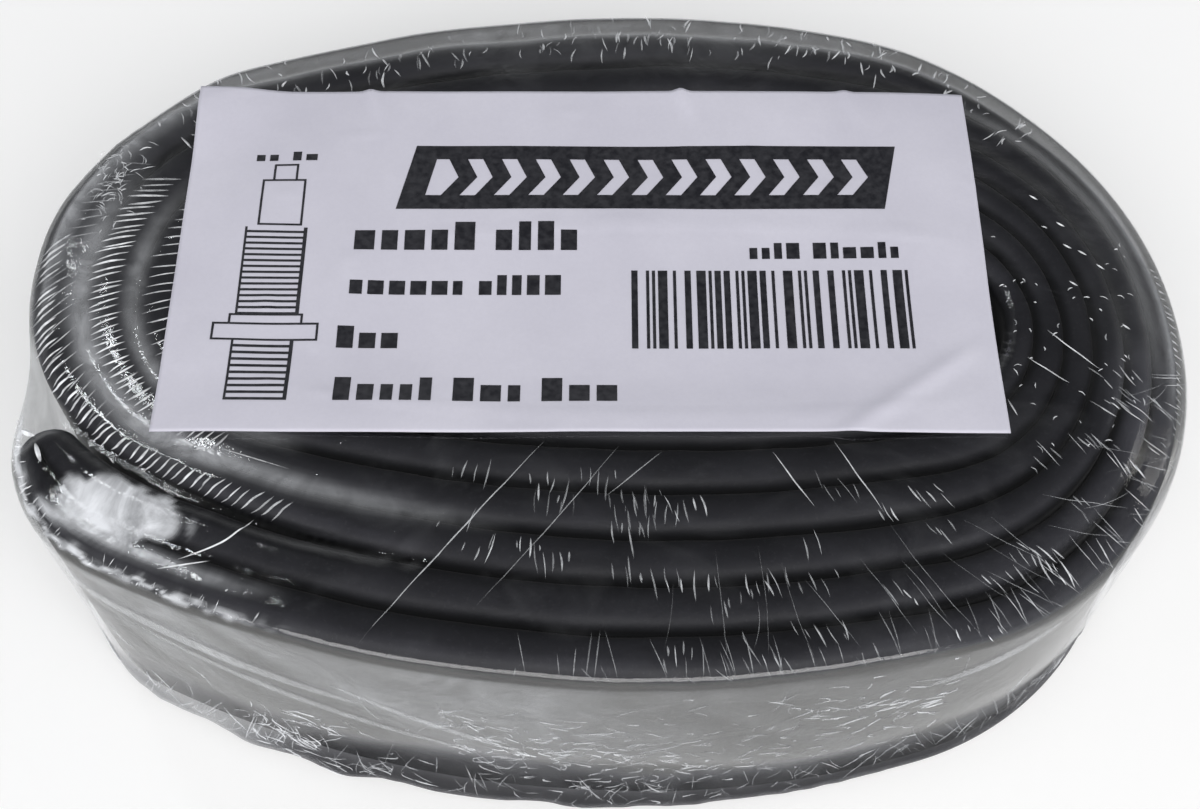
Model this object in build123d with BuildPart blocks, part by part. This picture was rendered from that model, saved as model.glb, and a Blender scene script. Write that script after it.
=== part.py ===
"""Bicycle inner tube, pressed flat, rolled up as an oval and shrink wrapped.

The tube is one closed loop.  Pressed flat it is a strip of two layers, folded in the
middle of its length: the fold is the tip at the front left.  Both halves stand on edge
and spiral inwards together, counter-clockwise from above, so each turn adds two
ridges of two layers each.  The strip's two ends lie at the left of the hollow in the
middle, which holds the valve.

Frame: millimetres, +Z up, +X along the oval, origin under the middle of the wrap.
"""
from build123d import *
from math import cos, radians, sin
import os

# wrap and label
HEIGHT = 30.0           # over the film, standing on its side
HALF_LENGTH = 50.2      # middle to either end of the wrap
HALF_DEPTH = 34.0       # middle to the front or back of the wrap
FILM = 0.15             # film thickness
FILM_ROUND = 0.6        # film's corner along its top and bottom edges
FILM_SLACK = 0.15       # air between the film and the tube's edges
LABEL_LENGTH = 70.0
LABEL_DEPTH = 36.0
LABEL_CENTRE = (-1.6, 5.6)
LABEL_PAPER = 0.12
LABEL_CORNER = 1.0

# oval spiral: where a ridge of depth 0 would lie, and how far each ridge steps in
FRONT_EDGE = -33.55
RIGHT_EDGE = 50.85
BACK_EDGE = 35.7
LEFT_EDGE = -55.9
FRONT_PITCH = 4.05
RIGHT_PITCH = 2.5
BACK_PITCH = 4.1
LEFT_PITCH = 4.55
MIDDLE_X = 4.0          # x where depth 0 is furthest front or back
MIDDLE_STEP = 0.4       # and its move for each ridge
RIGHT_Y = -2.0          # y where depth 0 is furthest right
RIGHT_STEP = 0.25
LEFT_Y = 4.4            # y where depth 0 is furthest left
LEFT_STEP = -0.62
SIDE_SWEEPS = (16.0, 16.0, 22.0, 35.5)      # degrees of each quarter's long arc at depth 0
SWEEP_STEPS = (1.5, 1.5, 2.0, 5.0)          # and what each ridge takes off
HALF_QUARTERS = 11      # quarter turns from the furthest front point to the inner ends
AIR = 0.12              # gap between neighbouring layers
TAIL = 4.0              # straight end of the inner half

# the tip, where the strip is folded in the middle of its length
TIP_SIDE_SWEEP = 25.0
TIP_RADII = (104.0, 99.0)       # long arcs of the tip's outer and inner face
TIP_END_RADII = (13.4, 20.0)    # short arcs that follow them
TIP_END_SWEEPS = (48.0, 21.0)
TIP_ROUND = 2.6         # how far the fold bulges past the faces' ends
TIP_MIDDLE_SHARES = (0.5, 0.52)         # where the halves meet, from the outer face to the inner
TIP_SLIT_OUTER_SHARES = (0.24, 0.77)    # and the slit's two faces
TIP_SLIT_INNER_SHARES = (0.26, 0.75)
END_ROUND = 1.6         # the same at the inner ends

# valve, along +X from its foot
VALVE_X = -21.2
VALVE_Y = -1.0
FOOT_START = -2.4
FOOT_LENGTH = 6.0
FOOT_RADIUS = 5.0
FOOT_TAPER = 4.6
FOOT_NOSE_RADIUS = 4.0
STEM_LENGTH = 32.5
STEM_RADIUS = 2.95
STEM_ROOT = 2.62
THREAD_PITCH = 1.0
THREAD_START = 6.0
THREAD_END = 26.0
NECK_END = 28.0
CAP_THREAD_RADIUS = 2.6
STEM_BORE = 1.5
FLANGE_WIDTH = 0.6      # of the root moulded into the foot
FLANGE_LENGTH = 0.8
CORE_BORE = 1.9
CORE_SEAT = 24.5
CORE_DEPTH = 7.6        # of the core's barrel inside the stem
CORE_HEAD = 2.0
CORE_HEAD_RADIUS = 2.3
CORE_FLATS = 4.0        # across the wrench flats
CORE_CHAMFER = 0.25
PIN_RADIUS = 0.75
PIN_TOP = 39.2
PIN_HEAD_RADIUS = 1.0
PIN_HEAD_LENGTH = 0.8
PIN_CHAMFER = 0.2
PIN_BOTTOM = 19.5
SEAL_RADIUS = 1.35
SEAL_LENGTH = 1.6
NUT_RADIUS = 2.0
NUT_LENGTH = 2.2
GASKET = 0.3
FIT = 0.05              # radial running clearance
RIM_NUT_START = 6.4
RIM_NUT_LENGTH = 2.6
RIM_NUT_RADIUS = 5.0
CAP_START = 28.4
CAP_LENGTH = 13.6
CAP_RADIUS = 3.5
CAP_WALL = 0.75
CAP_TAPER = 2.0
KNURL = 0.22            # depth of the knurls' grooves
LOCK_NUT_GROOVES = 14
RIM_NUT_GROOVES = 30
CAP_GROOVES = 18

AXIS_PLANE = Plane(origin=(VALVE_X, VALVE_Y, HEIGHT / 2), x_dir=(1, 0, 0), z_dir=(0, -1, 0))
AXIS = Axis((VALVE_X, VALVE_Y, HEIGHT / 2), (1, 0, 0))


def valve_plane(distance):
    """Plane across the valve's axis, a distance out from its foot."""
    return Plane(origin=(VALVE_X + distance, VALVE_Y, HEIGHT / 2), z_dir=(1, 0, 0))


def furthest_point(quarter, lag, inset):
    """Where the spiral is furthest front, right, back or left, after so many quarters."""
    depth = quarter / 2 + lag
    middle_x = MIDDLE_X + MIDDLE_STEP * depth
    points = (
        (middle_x, FRONT_EDGE + FRONT_PITCH * depth + inset),
        (RIGHT_EDGE - RIGHT_PITCH * depth - inset, RIGHT_Y + RIGHT_STEP * depth),
        (middle_x, BACK_EDGE - BACK_PITCH * depth - inset),
        (LEFT_EDGE + LEFT_PITCH * depth + inset, LEFT_Y + LEFT_STEP * depth),
    )
    return Vector(*points[quarter % 4])


def quarter_radii(start, end, side_sweep):
    """Radii of the long side's arc and of the end's arc that join two furthest points."""
    along = abs(end.X - start.X)
    across = abs(end.Y - start.Y)
    s = sin(radians(side_sweep))
    c = cos(radians(side_sweep))
    scale = s * c - (1 - s) * (1 - c)
    side_radius = (along * c - (1 - s) * across) / scale
    end_radius = (s * across - (1 - c) * along) / scale
    return side_radius, end_radius


def add_quarter(start, end, heading, side_sweep, side_first):
    """Draw the two arcs from one furthest point to the next."""
    side_radius, end_radius = quarter_radii(start, end, side_sweep)
    arcs = [(side_radius, side_sweep), (end_radius, 90 - side_sweep)]
    if not side_first:
        arcs.reverse()
    for radius, sweep_angle in arcs:
        arc = JernArc(start=start, tangent=heading, radius=radius, arc_size=sweep_angle)
        start = arc @ 1
        heading = arc % 1


def add_spiral(lag, inset, tail=0):
    """Draw the spiral's arcs inwards from its furthest front point; returns both ends."""
    start = furthest_point(0, lag, inset)
    point = start
    for quarter in range(HALF_QUARTERS):
        side = quarter % 4
        target = furthest_point(quarter + 1, lag, inset)
        side_sweep = SIDE_SWEEPS[side] - SWEEP_STEPS[side] * (quarter / 2 + lag)
        add_quarter(point, target, HEADINGS[side], side_sweep, side % 2 == 0)
        point = target
    if tail:
        Line(point, point + HEADINGS[3] * tail)
    return start, point + HEADINGS[3] * tail


def between(pair, share):
    """The value a share of the way from the first of a pair to the second."""
    return pair[0] + (pair[1] - pair[0]) * share


def add_tip_side(start, share):
    """Draw the tip's side back from the furthest front point; share 0 is its outer face."""
    radius = between(TIP_RADII, share)
    arc = JernArc(start=start, tangent=(-1, 0), radius=radius, arc_size=-TIP_SIDE_SWEEP)
    end_radius = between(TIP_END_RADII, share)
    end_sweep = between(TIP_END_SWEEPS, share)
    arc = JernArc(start=arc @ 1, tangent=arc % 1, radius=end_radius, arc_size=-end_sweep)
    return arc @ 1


def add_fold(one, other, bulge):
    """Round off a fold between two ends; it bulges to the left of the way from one to other."""
    across = (other - one).normalized()
    outwards = Vector(-across.Y, across.X)
    ThreePointArc(one, (one + other) * 0.5 + outwards * bulge, other)


def add_tip_fold(odd, even, shares, bulge):
    """Draw both sides of the tip back from the halves' front points, and the fold between them."""
    odd_end = add_tip_side(odd, shares[0])
    add_fold(odd_end, add_tip_side(even, shares[1]), bulge)


HEADINGS = (Vector(1, 0), Vector(0, 1), Vector(-1, 0), Vector(0, -1))


def strip_outline():
    """The two-layer strip seen from above, with the slit between its layers."""
    half = AIR / 2
    with BuildSketch() as outline:
        with BuildLine():
            odd_out, odd_out_end = add_spiral(0, half)
            odd_in, odd_in_end = add_spiral(1, -half)
            even_out, even_out_end = add_spiral(1, half, TAIL)
            even_in, even_in_end = add_spiral(2, -half, TAIL)
            add_fold(odd_in_end, odd_out_end, END_ROUND)
            add_fold(even_in_end, even_out_end, END_ROUND)
            add_tip_fold(odd_out, even_in, (0, 1), TIP_ROUND)
            add_tip_fold(odd_in, even_out, TIP_MIDDLE_SHARES, half)
        make_face()
        with BuildLine():
            odd_out, odd_out_end = add_spiral(0.5, -half)
            odd_in, odd_in_end = add_spiral(0.5, half)
            even_out, even_out_end = add_spiral(1.5, -half, TAIL)
            even_in, even_in_end = add_spiral(1.5, half, TAIL)
            add_fold(odd_in_end, odd_out_end, half)
            add_fold(even_in_end, even_out_end, half)
            add_tip_fold(odd_out, even_in, TIP_SLIT_OUTER_SHARES, TIP_ROUND / 2)
            add_tip_fold(odd_in, even_out, TIP_SLIT_INNER_SHARES, TIP_ROUND / 3)
        make_face(mode=Mode.SUBTRACT)
    return outline.sketch


os.makedirs("parts", exist_ok=True)

TUBE_BOTTOM = FILM + FILM_SLACK
TUBE_WIDTH = HEIGHT - 2 * TUBE_BOTTOM

# ---- inner tube: the flattened loop, standing on edge
with BuildPart() as inner_tube:
    with BuildSketch(Plane.XY.offset(TUBE_BOTTOM)):
        add(strip_outline())
    extrude(amount=TUBE_WIDTH)
inner_tube.part.label = "inner_tube"
export_step(inner_tube.part, "parts/inner_tube.step")

# ---- valve stem: threaded brass tube, vulcanised into the foot
THREAD_DEPTH = STEM_RADIUS - STEM_ROOT
THREAD_COUNT = int((THREAD_END - THREAD_START) / THREAD_PITCH)


def thread_points():
    """Ridge and root points of the stem's thread, along its axis."""
    points = []
    for turn in range(THREAD_COUNT):
        start = THREAD_START + turn * THREAD_PITCH
        points.append((start, STEM_RADIUS))
        points.append((start + THREAD_PITCH / 4, STEM_RADIUS))
        points.append((start + THREAD_PITCH * 5 / 8, STEM_ROOT))
    return points


FLANGE_RADIUS = STEM_RADIUS + FLANGE_WIDTH
with BuildPart() as valve_stem:
    with BuildSketch(AXIS_PLANE):
        with BuildLine():
            Polyline(
                (0, STEM_BORE),
                (0, FLANGE_RADIUS),
                (FLANGE_LENGTH, FLANGE_RADIUS),
                (FLANGE_LENGTH, STEM_RADIUS),
                *thread_points(),
                (THREAD_END, STEM_RADIUS),
                (NECK_END, CAP_THREAD_RADIUS - THREAD_DEPTH),
                (NECK_END + THREAD_PITCH, CAP_THREAD_RADIUS),
                (STEM_LENGTH, CAP_THREAD_RADIUS),
                (STEM_LENGTH, CORE_BORE),
                (CORE_SEAT, CORE_BORE),
                (CORE_SEAT, STEM_BORE),
                close=True,
            )
        make_face()
    revolve(axis=AXIS)
valve_stem.part.label = "valve_stem"
export_step(valve_stem.part, "parts/valve_stem.step")

# ---- valve foot: rubber pad moulded to the tube and round the stem's root
with BuildPart() as valve_foot:
    with BuildSketch(AXIS_PLANE):
        with BuildLine():
            Polyline(
                (FOOT_START, 0),
                (FOOT_START, FOOT_RADIUS),
                (FOOT_TAPER, FOOT_RADIUS),
                (FOOT_LENGTH, FOOT_NOSE_RADIUS),
                (FOOT_LENGTH, 0),
                close=True,
            )
        make_face()
    revolve(axis=AXIS)
    with BuildSketch(valve_plane(0)):
        Circle(STEM_RADIUS)
    extrude(amount=FOOT_LENGTH, mode=Mode.SUBTRACT)
    with BuildSketch(valve_plane(0)):
        Circle(FLANGE_RADIUS)
    extrude(amount=FLANGE_LENGTH, mode=Mode.SUBTRACT)
    add(inner_tube.part, mode=Mode.SUBTRACT)
foot = valve_foot.solids().sort_by(SortBy.VOLUME)[-1]
foot.label = "valve_foot"
export_step(foot, "parts/valve_foot.step")

# ---- gasket between the stem's mouth and the core's head
CORE_NECK = CORE_BORE - FIT
with BuildPart() as core_gasket:
    with BuildSketch(valve_plane(STEM_LENGTH)):
        Circle(CORE_HEAD_RADIUS)
        Circle(CORE_NECK + FIT, mode=Mode.SUBTRACT)
    extrude(amount=GASKET)
core_gasket.part.label = "core_gasket"
export_step(core_gasket.part, "parts/core_gasket.step")

# ---- valve core: barrel in the stem, head with two wrench flats
CORE_HEAD_START = STEM_LENGTH + GASKET
CORE_TOP = CORE_HEAD_START + CORE_HEAD
CORE_BLANK = 3 * CORE_HEAD_RADIUS
with BuildPart() as valve_core:
    with BuildSketch(valve_plane(CORE_HEAD_START)):
        Circle(CORE_HEAD_RADIUS)
    extrude(amount=CORE_HEAD)
    chamfer(valve_core.edges().filter_by(GeomType.CIRCLE).sort_by(Axis.X)[-1], length=CORE_CHAMFER)
    with BuildSketch(valve_plane(CORE_HEAD_START)):
        Rectangle(CORE_BLANK, CORE_BLANK)
        Rectangle(CORE_BLANK, CORE_FLATS, mode=Mode.SUBTRACT)
    extrude(amount=CORE_HEAD, mode=Mode.SUBTRACT)
    with BuildSketch(valve_plane(STEM_LENGTH - CORE_DEPTH)):
        Circle(CORE_NECK)
    extrude(amount=CORE_DEPTH + GASKET)
    with BuildSketch(valve_plane(STEM_LENGTH - CORE_DEPTH)):
        Circle(PIN_RADIUS + FIT)
    extrude(amount=CORE_DEPTH + GASKET + CORE_HEAD, mode=Mode.SUBTRACT)
valve_core.part.label = "valve_core"
export_step(valve_core.part, "parts/valve_core.step")

# ---- valve pin: thin rod with a small head, through the core
SEAL_TOP = STEM_LENGTH - CORE_DEPTH
SEAL_BOTTOM = SEAL_TOP - SEAL_LENGTH
with BuildPart() as valve_pin:
    with BuildSketch(valve_plane(PIN_BOTTOM)):
        Circle(PIN_RADIUS)
    extrude(amount=PIN_TOP - PIN_BOTTOM)
    with BuildSketch(valve_plane(PIN_BOTTOM)):
        Circle(SEAL_RADIUS)
    extrude(amount=SEAL_BOTTOM - PIN_BOTTOM)
    with BuildSketch(valve_plane(PIN_TOP)):
        Circle(PIN_HEAD_RADIUS)
    extrude(amount=PIN_HEAD_LENGTH)
    chamfer(valve_pin.edges().filter_by(GeomType.CIRCLE).sort_by(Axis.X)[-1], length=PIN_CHAMFER)
valve_pin.part.label = "valve_pin"
export_step(valve_pin.part, "parts/valve_pin.step")

# ---- pin seal: rubber washer that closes the core from below
with BuildPart() as pin_seal:
    with BuildSketch(valve_plane(SEAL_BOTTOM)):
        Circle(SEAL_RADIUS)
        Circle(PIN_RADIUS, mode=Mode.SUBTRACT)
    extrude(amount=SEAL_LENGTH)
pin_seal.part.label = "pin_seal"
export_step(pin_seal.part, "parts/pin_seal.step")


def knurled_ring(start, length, outer, bore, grooves):
    """Ring on the valve's axis with grooves along its rim."""
    with BuildPart() as ring:
        with BuildSketch(valve_plane(start)):
            Circle(outer)
            with PolarLocations(outer, grooves):
                Circle(KNURL, mode=Mode.SUBTRACT)
            Circle(bore, mode=Mode.SUBTRACT)
        extrude(amount=length)
    return ring.part


# ---- lock nut on the pin's thread
lock_nut = knurled_ring(CORE_TOP, NUT_LENGTH, NUT_RADIUS, PIN_RADIUS + FIT, LOCK_NUT_GROOVES)
lock_nut.label = "lock_nut"
export_step(lock_nut, "parts/lock_nut.step")

# ---- rim nut on the stem's thread
rim_nut = knurled_ring(RIM_NUT_START, RIM_NUT_LENGTH, RIM_NUT_RADIUS, STEM_RADIUS + FIT, RIM_NUT_GROOVES)
rim_nut.label = "rim_nut"
export_step(rim_nut, "parts/rim_nut.step")

# ---- dust cap: moulded plastic, closed at its far end
CAP_END = CAP_START + CAP_LENGTH
CAP_BORE = CAP_THREAD_RADIUS + FIT
with BuildPart() as dust_cap:
    with BuildSketch(AXIS_PLANE):
        with BuildLine():
            Polyline(
                (CAP_START, CAP_BORE),
                (CAP_START, CAP_RADIUS),
                (CAP_END - CAP_TAPER, CAP_RADIUS),
                (CAP_END, CAP_RADIUS - CAP_WALL),
                (CAP_END, 0),
                (CAP_END - CAP_WALL, 0),
                (CAP_END - CAP_WALL, CAP_BORE - CAP_WALL / 2),
                (CAP_END - CAP_TAPER, CAP_BORE),
                close=True,
            )
        make_face()
    revolve(axis=AXIS)
    with BuildSketch(valve_plane(CAP_START)):
        with PolarLocations(CAP_RADIUS, CAP_GROOVES):
            Circle(KNURL)
    extrude(amount=CAP_LENGTH - CAP_TAPER, mode=Mode.SUBTRACT)
dust_cap.part.label = "dust_cap"
export_step(dust_cap.part, "parts/dust_cap.step")

# ---- shrink film: thin closed skin, taut over the roll and its tip, as its top, side and bottom
WRAP_SIDE_SWEEPS = (16.0, 15.0, 20.0)
WRAP_TIP_SLACK = 0.45
WRAP_TIP_RADIUS = 14.7
WRAP_TIP_SWEEP = 51.0
WRAP_LEFT_RADIUS = 74.0


def add_wrap_outline(inset):
    """Draw the closed oval of the wrap, so far inside its outer face."""
    front = Vector(MIDDLE_X, -HALF_DEPTH + inset)
    right = Vector(HALF_LENGTH - inset, RIGHT_Y)
    back = Vector(MIDDLE_X, HALF_DEPTH - inset)
    arc = JernArc(
        start=front,
        tangent=(-1, 0),
        radius=TIP_RADII[0] + WRAP_TIP_SLACK - inset,
        arc_size=-TIP_SIDE_SWEEP,
    )
    left_sweep = 90 - TIP_SIDE_SWEEP - WRAP_TIP_SWEEP
    for radius, sweep_angle in ((WRAP_TIP_RADIUS, WRAP_TIP_SWEEP), (WRAP_LEFT_RADIUS, left_sweep)):
        arc = JernArc(start=arc @ 1, tangent=arc % 1, radius=radius - inset, arc_size=-sweep_angle)
    add_quarter(front, right, HEADINGS[0], WRAP_SIDE_SWEEPS[0], True)
    add_quarter(right, back, HEADINGS[1], WRAP_SIDE_SWEEPS[1], False)
    add_quarter(back, arc @ 1, HEADINGS[2], WRAP_SIDE_SWEEPS[2], True)


def wrap_solid(inset):
    """Closed block of the wrap's outer shape, so far inside its outer face."""
    with BuildPart() as block:
        with BuildSketch(Plane.XY.offset(inset)):
            with BuildLine():
                add_wrap_outline(inset)
            make_face()
        extrude(amount=HEIGHT - 2 * inset)
        rims = block.edges().group_by(Axis.Z)
        fillet(rims[0] + rims[-1], radius=FILM_ROUND - inset)
    return block.part


def film_slice(name, low, high):
    """Export the part of the closed film between two heights."""
    with BuildPart() as piece:
        add(wrap_solid(0))
        add(wrap_solid(FILM), mode=Mode.SUBTRACT)
        with Locations((0, 0, low)):
            Box(
                3 * HALF_LENGTH,
                3 * HALF_DEPTH,
                high - low,
                align=(Align.CENTER, Align.CENTER, Align.MIN),
                mode=Mode.INTERSECT,
            )
    piece.part.label = name
    export_step(piece.part, f"parts/{name}.step")


film_slice("film_bottom", 0, FILM_ROUND)
film_slice("film_side", FILM_ROUND, HEIGHT - FILM_ROUND)
film_slice("film_top", HEIGHT - FILM_ROUND, HEIGHT)

# ---- label: self-adhesive paper on top of the film
with BuildPart() as label:
    with BuildSketch(Plane.XY.offset(HEIGHT)):
        with Locations(LABEL_CENTRE):
            RectangleRounded(LABEL_LENGTH, LABEL_DEPTH, LABEL_CORNER)
    extrude(amount=LABEL_PAPER)
label.part.label = "label"
export_step(label.part, "parts/label.step")
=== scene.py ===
"""Looks of the shrink-wrapped inner tube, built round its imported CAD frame.

Shapes are worked out in millimetres, +Z up, and turned into metres when a mesh is made.
"""
import math

import bpy
import numpy as np
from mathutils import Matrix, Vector


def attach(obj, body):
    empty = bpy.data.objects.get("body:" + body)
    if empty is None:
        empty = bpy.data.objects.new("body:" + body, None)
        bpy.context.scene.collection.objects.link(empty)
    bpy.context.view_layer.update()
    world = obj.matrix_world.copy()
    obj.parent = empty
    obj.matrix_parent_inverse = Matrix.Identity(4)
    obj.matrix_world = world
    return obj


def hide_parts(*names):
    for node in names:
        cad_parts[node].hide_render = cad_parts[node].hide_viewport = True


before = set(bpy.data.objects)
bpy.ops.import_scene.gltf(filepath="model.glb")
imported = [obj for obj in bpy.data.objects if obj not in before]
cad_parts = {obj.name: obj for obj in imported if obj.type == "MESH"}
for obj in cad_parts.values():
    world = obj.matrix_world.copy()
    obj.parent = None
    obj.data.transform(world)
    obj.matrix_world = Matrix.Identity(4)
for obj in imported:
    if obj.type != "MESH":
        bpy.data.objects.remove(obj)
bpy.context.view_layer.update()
MM = 0.001
RNG = np.random.default_rng(28)

# --- camera
camera_data = bpy.data.cameras.new("camera")
camera = bpy.data.objects.new("camera", camera_data)
bpy.context.scene.collection.objects.link(camera)
camera.location = (0.0, -0.078, 0.148)
camera.rotation_euler = (math.radians(30.0), 0.0, 0.0)
camera_data.lens = 49.9
camera_data.sensor_width = 36.0
camera_data.clip_start = 0.005
bpy.context.scene.camera = camera
bpy.context.scene.view_settings.view_transform = "Standard"

# --- the roll's spiral, as in the CAD part
HEIGHT = 30.0
HALF_LENGTH = 50.2
HALF_DEPTH = 34.0
FRONT_EDGE, RIGHT_EDGE, BACK_EDGE, LEFT_EDGE = -33.55, 50.85, 35.7, -55.9
FRONT_PITCH, RIGHT_PITCH, BACK_PITCH, LEFT_PITCH = 4.05, 2.5, 4.1, 4.55
MIDDLE_X, MIDDLE_STEP = 4.0, 0.4
RIGHT_Y, RIGHT_STEP = -2.0, 0.25
LEFT_Y, LEFT_STEP = 4.4, -0.62
SIDE_SWEEPS = (16.0, 16.0, 22.0, 35.5)
SWEEP_STEPS = (1.5, 1.5, 2.0, 5.0)
HEADINGS = (0.0, 90.0, 180.0, 270.0)
HALF_QUARTERS = 11
TAIL, TAIL_STEPS = 4.0, 5
TIP_SIDE_SWEEP = 25.0
TIP_RADII = (104.0, 99.0)
TIP_END_RADII = (13.4, 20.0)
TIP_END_SWEEPS = (48.0, 21.0)
TIP_ROUND = 2.6
TIP_STEPS, FOLD_STEPS, ARC_STEPS = 26, 18, 30


def draw(low, high):
    """The next random number between two limits."""
    return RNG.uniform(low, high)


def lerp(a, b, share):
    return a + (b - a) * share


def ramp(low, high, value):
    share = np.clip((value - low) / (high - low), 0.0, 1.0)
    return share * share * (3.0 - 2.0 * share)


def distances(line):
    """How far along a line each of its points lies."""
    return np.concatenate(([0.0], np.cumsum(np.linalg.norm(np.diff(line, axis=0), axis=1))))


def points_at(at, places, line):
    """A line's points between its own, which lie at known places along it."""
    return np.stack([np.interp(at, places, line[:, k]) for k in (0, 1)], axis=-1)


def furthest_point(quarter, lag):
    """Where the spiral is furthest front, right, back or left, after so many quarters."""
    depth = quarter / 2 + lag
    middle_x = MIDDLE_X + MIDDLE_STEP * depth
    return np.array((
        (middle_x, FRONT_EDGE + FRONT_PITCH * depth),
        (RIGHT_EDGE - RIGHT_PITCH * depth, RIGHT_Y + RIGHT_STEP * depth),
        (middle_x, BACK_EDGE - BACK_PITCH * depth),
        (LEFT_EDGE + LEFT_PITCH * depth, LEFT_Y + LEFT_STEP * depth),
    )[quarter % 4])


def arc_points(start, heading, radius, sweep, shares):
    """Points at shares of an arc that turns left, or right where sweep is negative."""
    side = 1.0 if sweep > 0 else -1.0
    angle = math.radians(heading)
    centre = start + side * radius * np.array((-math.sin(angle), math.cos(angle)))
    turned = angle + math.radians(sweep) * np.asarray(shares)
    return centre + side * radius * np.stack((np.sin(turned), -np.cos(turned)), axis=-1)


def chain(start, heading, arcs):
    """Start, heading, radius and sweep of arcs that follow on from each other."""
    found = []
    for radius, sweep in arcs:
        found.append((start, heading, radius, sweep))
        start = arc_points(start, heading, radius, sweep, [1.0])[0]
        heading += sweep
    return found


def quarter_arcs(start, end, heading, side_sweep, side_first):
    """The two arcs that make one quarter turn."""
    span_x, span_y = np.abs(end - start)
    s, c = math.sin(math.radians(side_sweep)), math.cos(math.radians(side_sweep))
    scale = s * c - (1 - s) * (1 - c)
    side_radius = (span_x * c - (1 - s) * span_y) / scale
    end_radius = (s * span_y - (1 - c) * span_x) / scale
    arcs = [(side_radius, side_sweep), (end_radius, 90 - side_sweep)]
    return chain(start, heading, arcs if side_first else arcs[::-1])


def turn_arcs(quarter, lag):
    """The two arcs of one quarter turn of the spiral."""
    side = quarter % 4
    sweep = SIDE_SWEEPS[side] - SWEEP_STEPS[side] * (quarter / 2 + lag)
    start, end = furthest_point(quarter, lag), furthest_point(quarter + 1, lag)
    return quarter_arcs(start, end, HEADINGS[side], sweep, side % 2 == 0)


def spiral_point(quarters, lag):
    """The spiral's point after a fractional number of quarter turns, at any lag."""
    quarter = min(int(quarters), HALF_QUARTERS - 1)
    arcs = turn_arcs(quarter, lag)
    lengths = [radius * turned for _, _, radius, turned in arcs]
    way = (quarters - quarter) * sum(lengths)
    if way <= lengths[0]:
        return arc_points(*arcs[0], [way / lengths[0]])[0]
    return arc_points(*arcs[1], [(way - lengths[0]) / lengths[1]])[0]


def spiral_line(lag, tail=0.0):
    """Points along the whole spiral at one lag, with a straight tail at its inner end."""
    shares = np.arange(ARC_STEPS) / ARC_STEPS
    arcs = [arc for quarter in range(HALF_QUARTERS) for arc in turn_arcs(quarter, lag)]
    steps = np.linspace(0.0, tail, TAIL_STEPS)[:, None] if tail else np.zeros((1, 1))
    end = furthest_point(HALF_QUARTERS, lag) + steps * np.array((0.0, -1.0))
    return np.concatenate([arc_points(*arc, shares) for arc in arcs] + [end])


def tip_line(lag, share):
    """Side of the tip, back from the furthest front point; share 0 is its outer face."""
    start = furthest_point(0, lag)
    shares = np.linspace(0.0, 1.0, TIP_STEPS)
    long_arc = arc_points(start, 180.0, lerp(*TIP_RADII, share), -TIP_SIDE_SWEEP, shares)
    end_radius, end_sweep = lerp(*TIP_END_RADII, share), lerp(*TIP_END_SWEEPS, share)
    short = arc_points(long_arc[-1], 180.0 - TIP_SIDE_SWEEP, end_radius, -end_sweep, shares)
    return np.concatenate((long_arc, short[1:]))


def fold_line(one, other, bulge):
    """Half an ellipse from one point to the other, bulging to the left of the way."""
    across = (other - one) / np.linalg.norm(other - one)
    outwards = np.array((-across[1], across[0]))
    angle = np.linspace(0.0, math.pi, FOLD_STEPS)[:, None]
    middle = (one + other) / 2
    return middle + np.cos(angle) * (one - middle) + np.sin(angle) * outwards * bulge


def strip_edges():
    """Both edges of the strip from its outer half's inner end, round the tip, to the other."""
    odd_outer, odd_inner = spiral_line(0.0), spiral_line(1.0)
    even_outer, even_inner = spiral_line(1.0, TAIL), spiral_line(2.0, TAIL)
    tip_outer, tip_inner = tip_line(0.0, 0.0), tip_line(2.0, 1.0)
    tip_middle = tip_line(1.0, 0.5)
    fold = fold_line(tip_outer[-1], tip_inner[-1], TIP_ROUND)
    one = (odd_outer[::-1], tip_outer[1:], fold[1:-1], tip_inner[::-1], even_inner[1:])
    centre = np.repeat(tip_middle[-1:], len(fold) - 2, axis=0)
    other = (odd_inner[::-1], tip_middle[1:], centre, tip_middle[::-1], even_outer[1:])
    return np.concatenate(one), np.concatenate(other)


# --- smooth seeded noise and rasters
NOISE_CELLS = 512
CELL = 0.25
RASTER_X, RASTER_Y = 53.0, 37.0
COLUMNS, ROWS = int(2 * RASTER_X / CELL), int(2 * RASTER_Y / CELL)


def bilinear(grid, i, j, after_i, after_j, p, q):
    """Between four cells of a grid, by shares p and q."""
    low = grid[i, j] * (1 - p) + grid[after_i, j] * p
    high = grid[i, after_j] * (1 - p) + grid[after_i, after_j] * p
    return low * (1 - q) + high * q


def noise(u, v, cell_u, cell_v, seed, wrap=None):
    """Smooth value noise from -1 to 1 over a plane; u repeats after wrap."""
    columns = int(round(wrap / cell_u)) if wrap else NOISE_CELLS
    step_u = wrap / columns if wrap else cell_u
    table = np.random.default_rng(seed).uniform(-1.0, 1.0, (columns, NOISE_CELLS))
    a, b = np.asarray(u) / step_u, np.asarray(v) / cell_v + NOISE_CELLS / 2
    i, j = np.floor(a).astype(int), np.floor(b).astype(int)
    p, q = a - i, b - j
    p, q = p * p * (3 - 2 * p), q * q * (3 - 2 * q)
    around = (i % columns, j % NOISE_CELLS, (i + 1) % columns, (j + 1) % NOISE_CELLS)
    return bilinear(table, *around, p, q)


def wander(along, cell, seed, row=0.0, wrap=None):
    """Smooth value noise from -1 to 1 along a line."""
    return noise(along, np.full(len(along), row), cell, 1.0, seed, wrap)


def spread(grid, radius):
    """Largest value within a square of that radius in mm."""
    reach = int(round(radius / CELL))
    for axis in (0, 1):
        best = grid.copy()
        for step in range(-reach, reach + 1):
            best = np.maximum(best, np.roll(grid, step, axis))
        grid = best
    return grid


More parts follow.
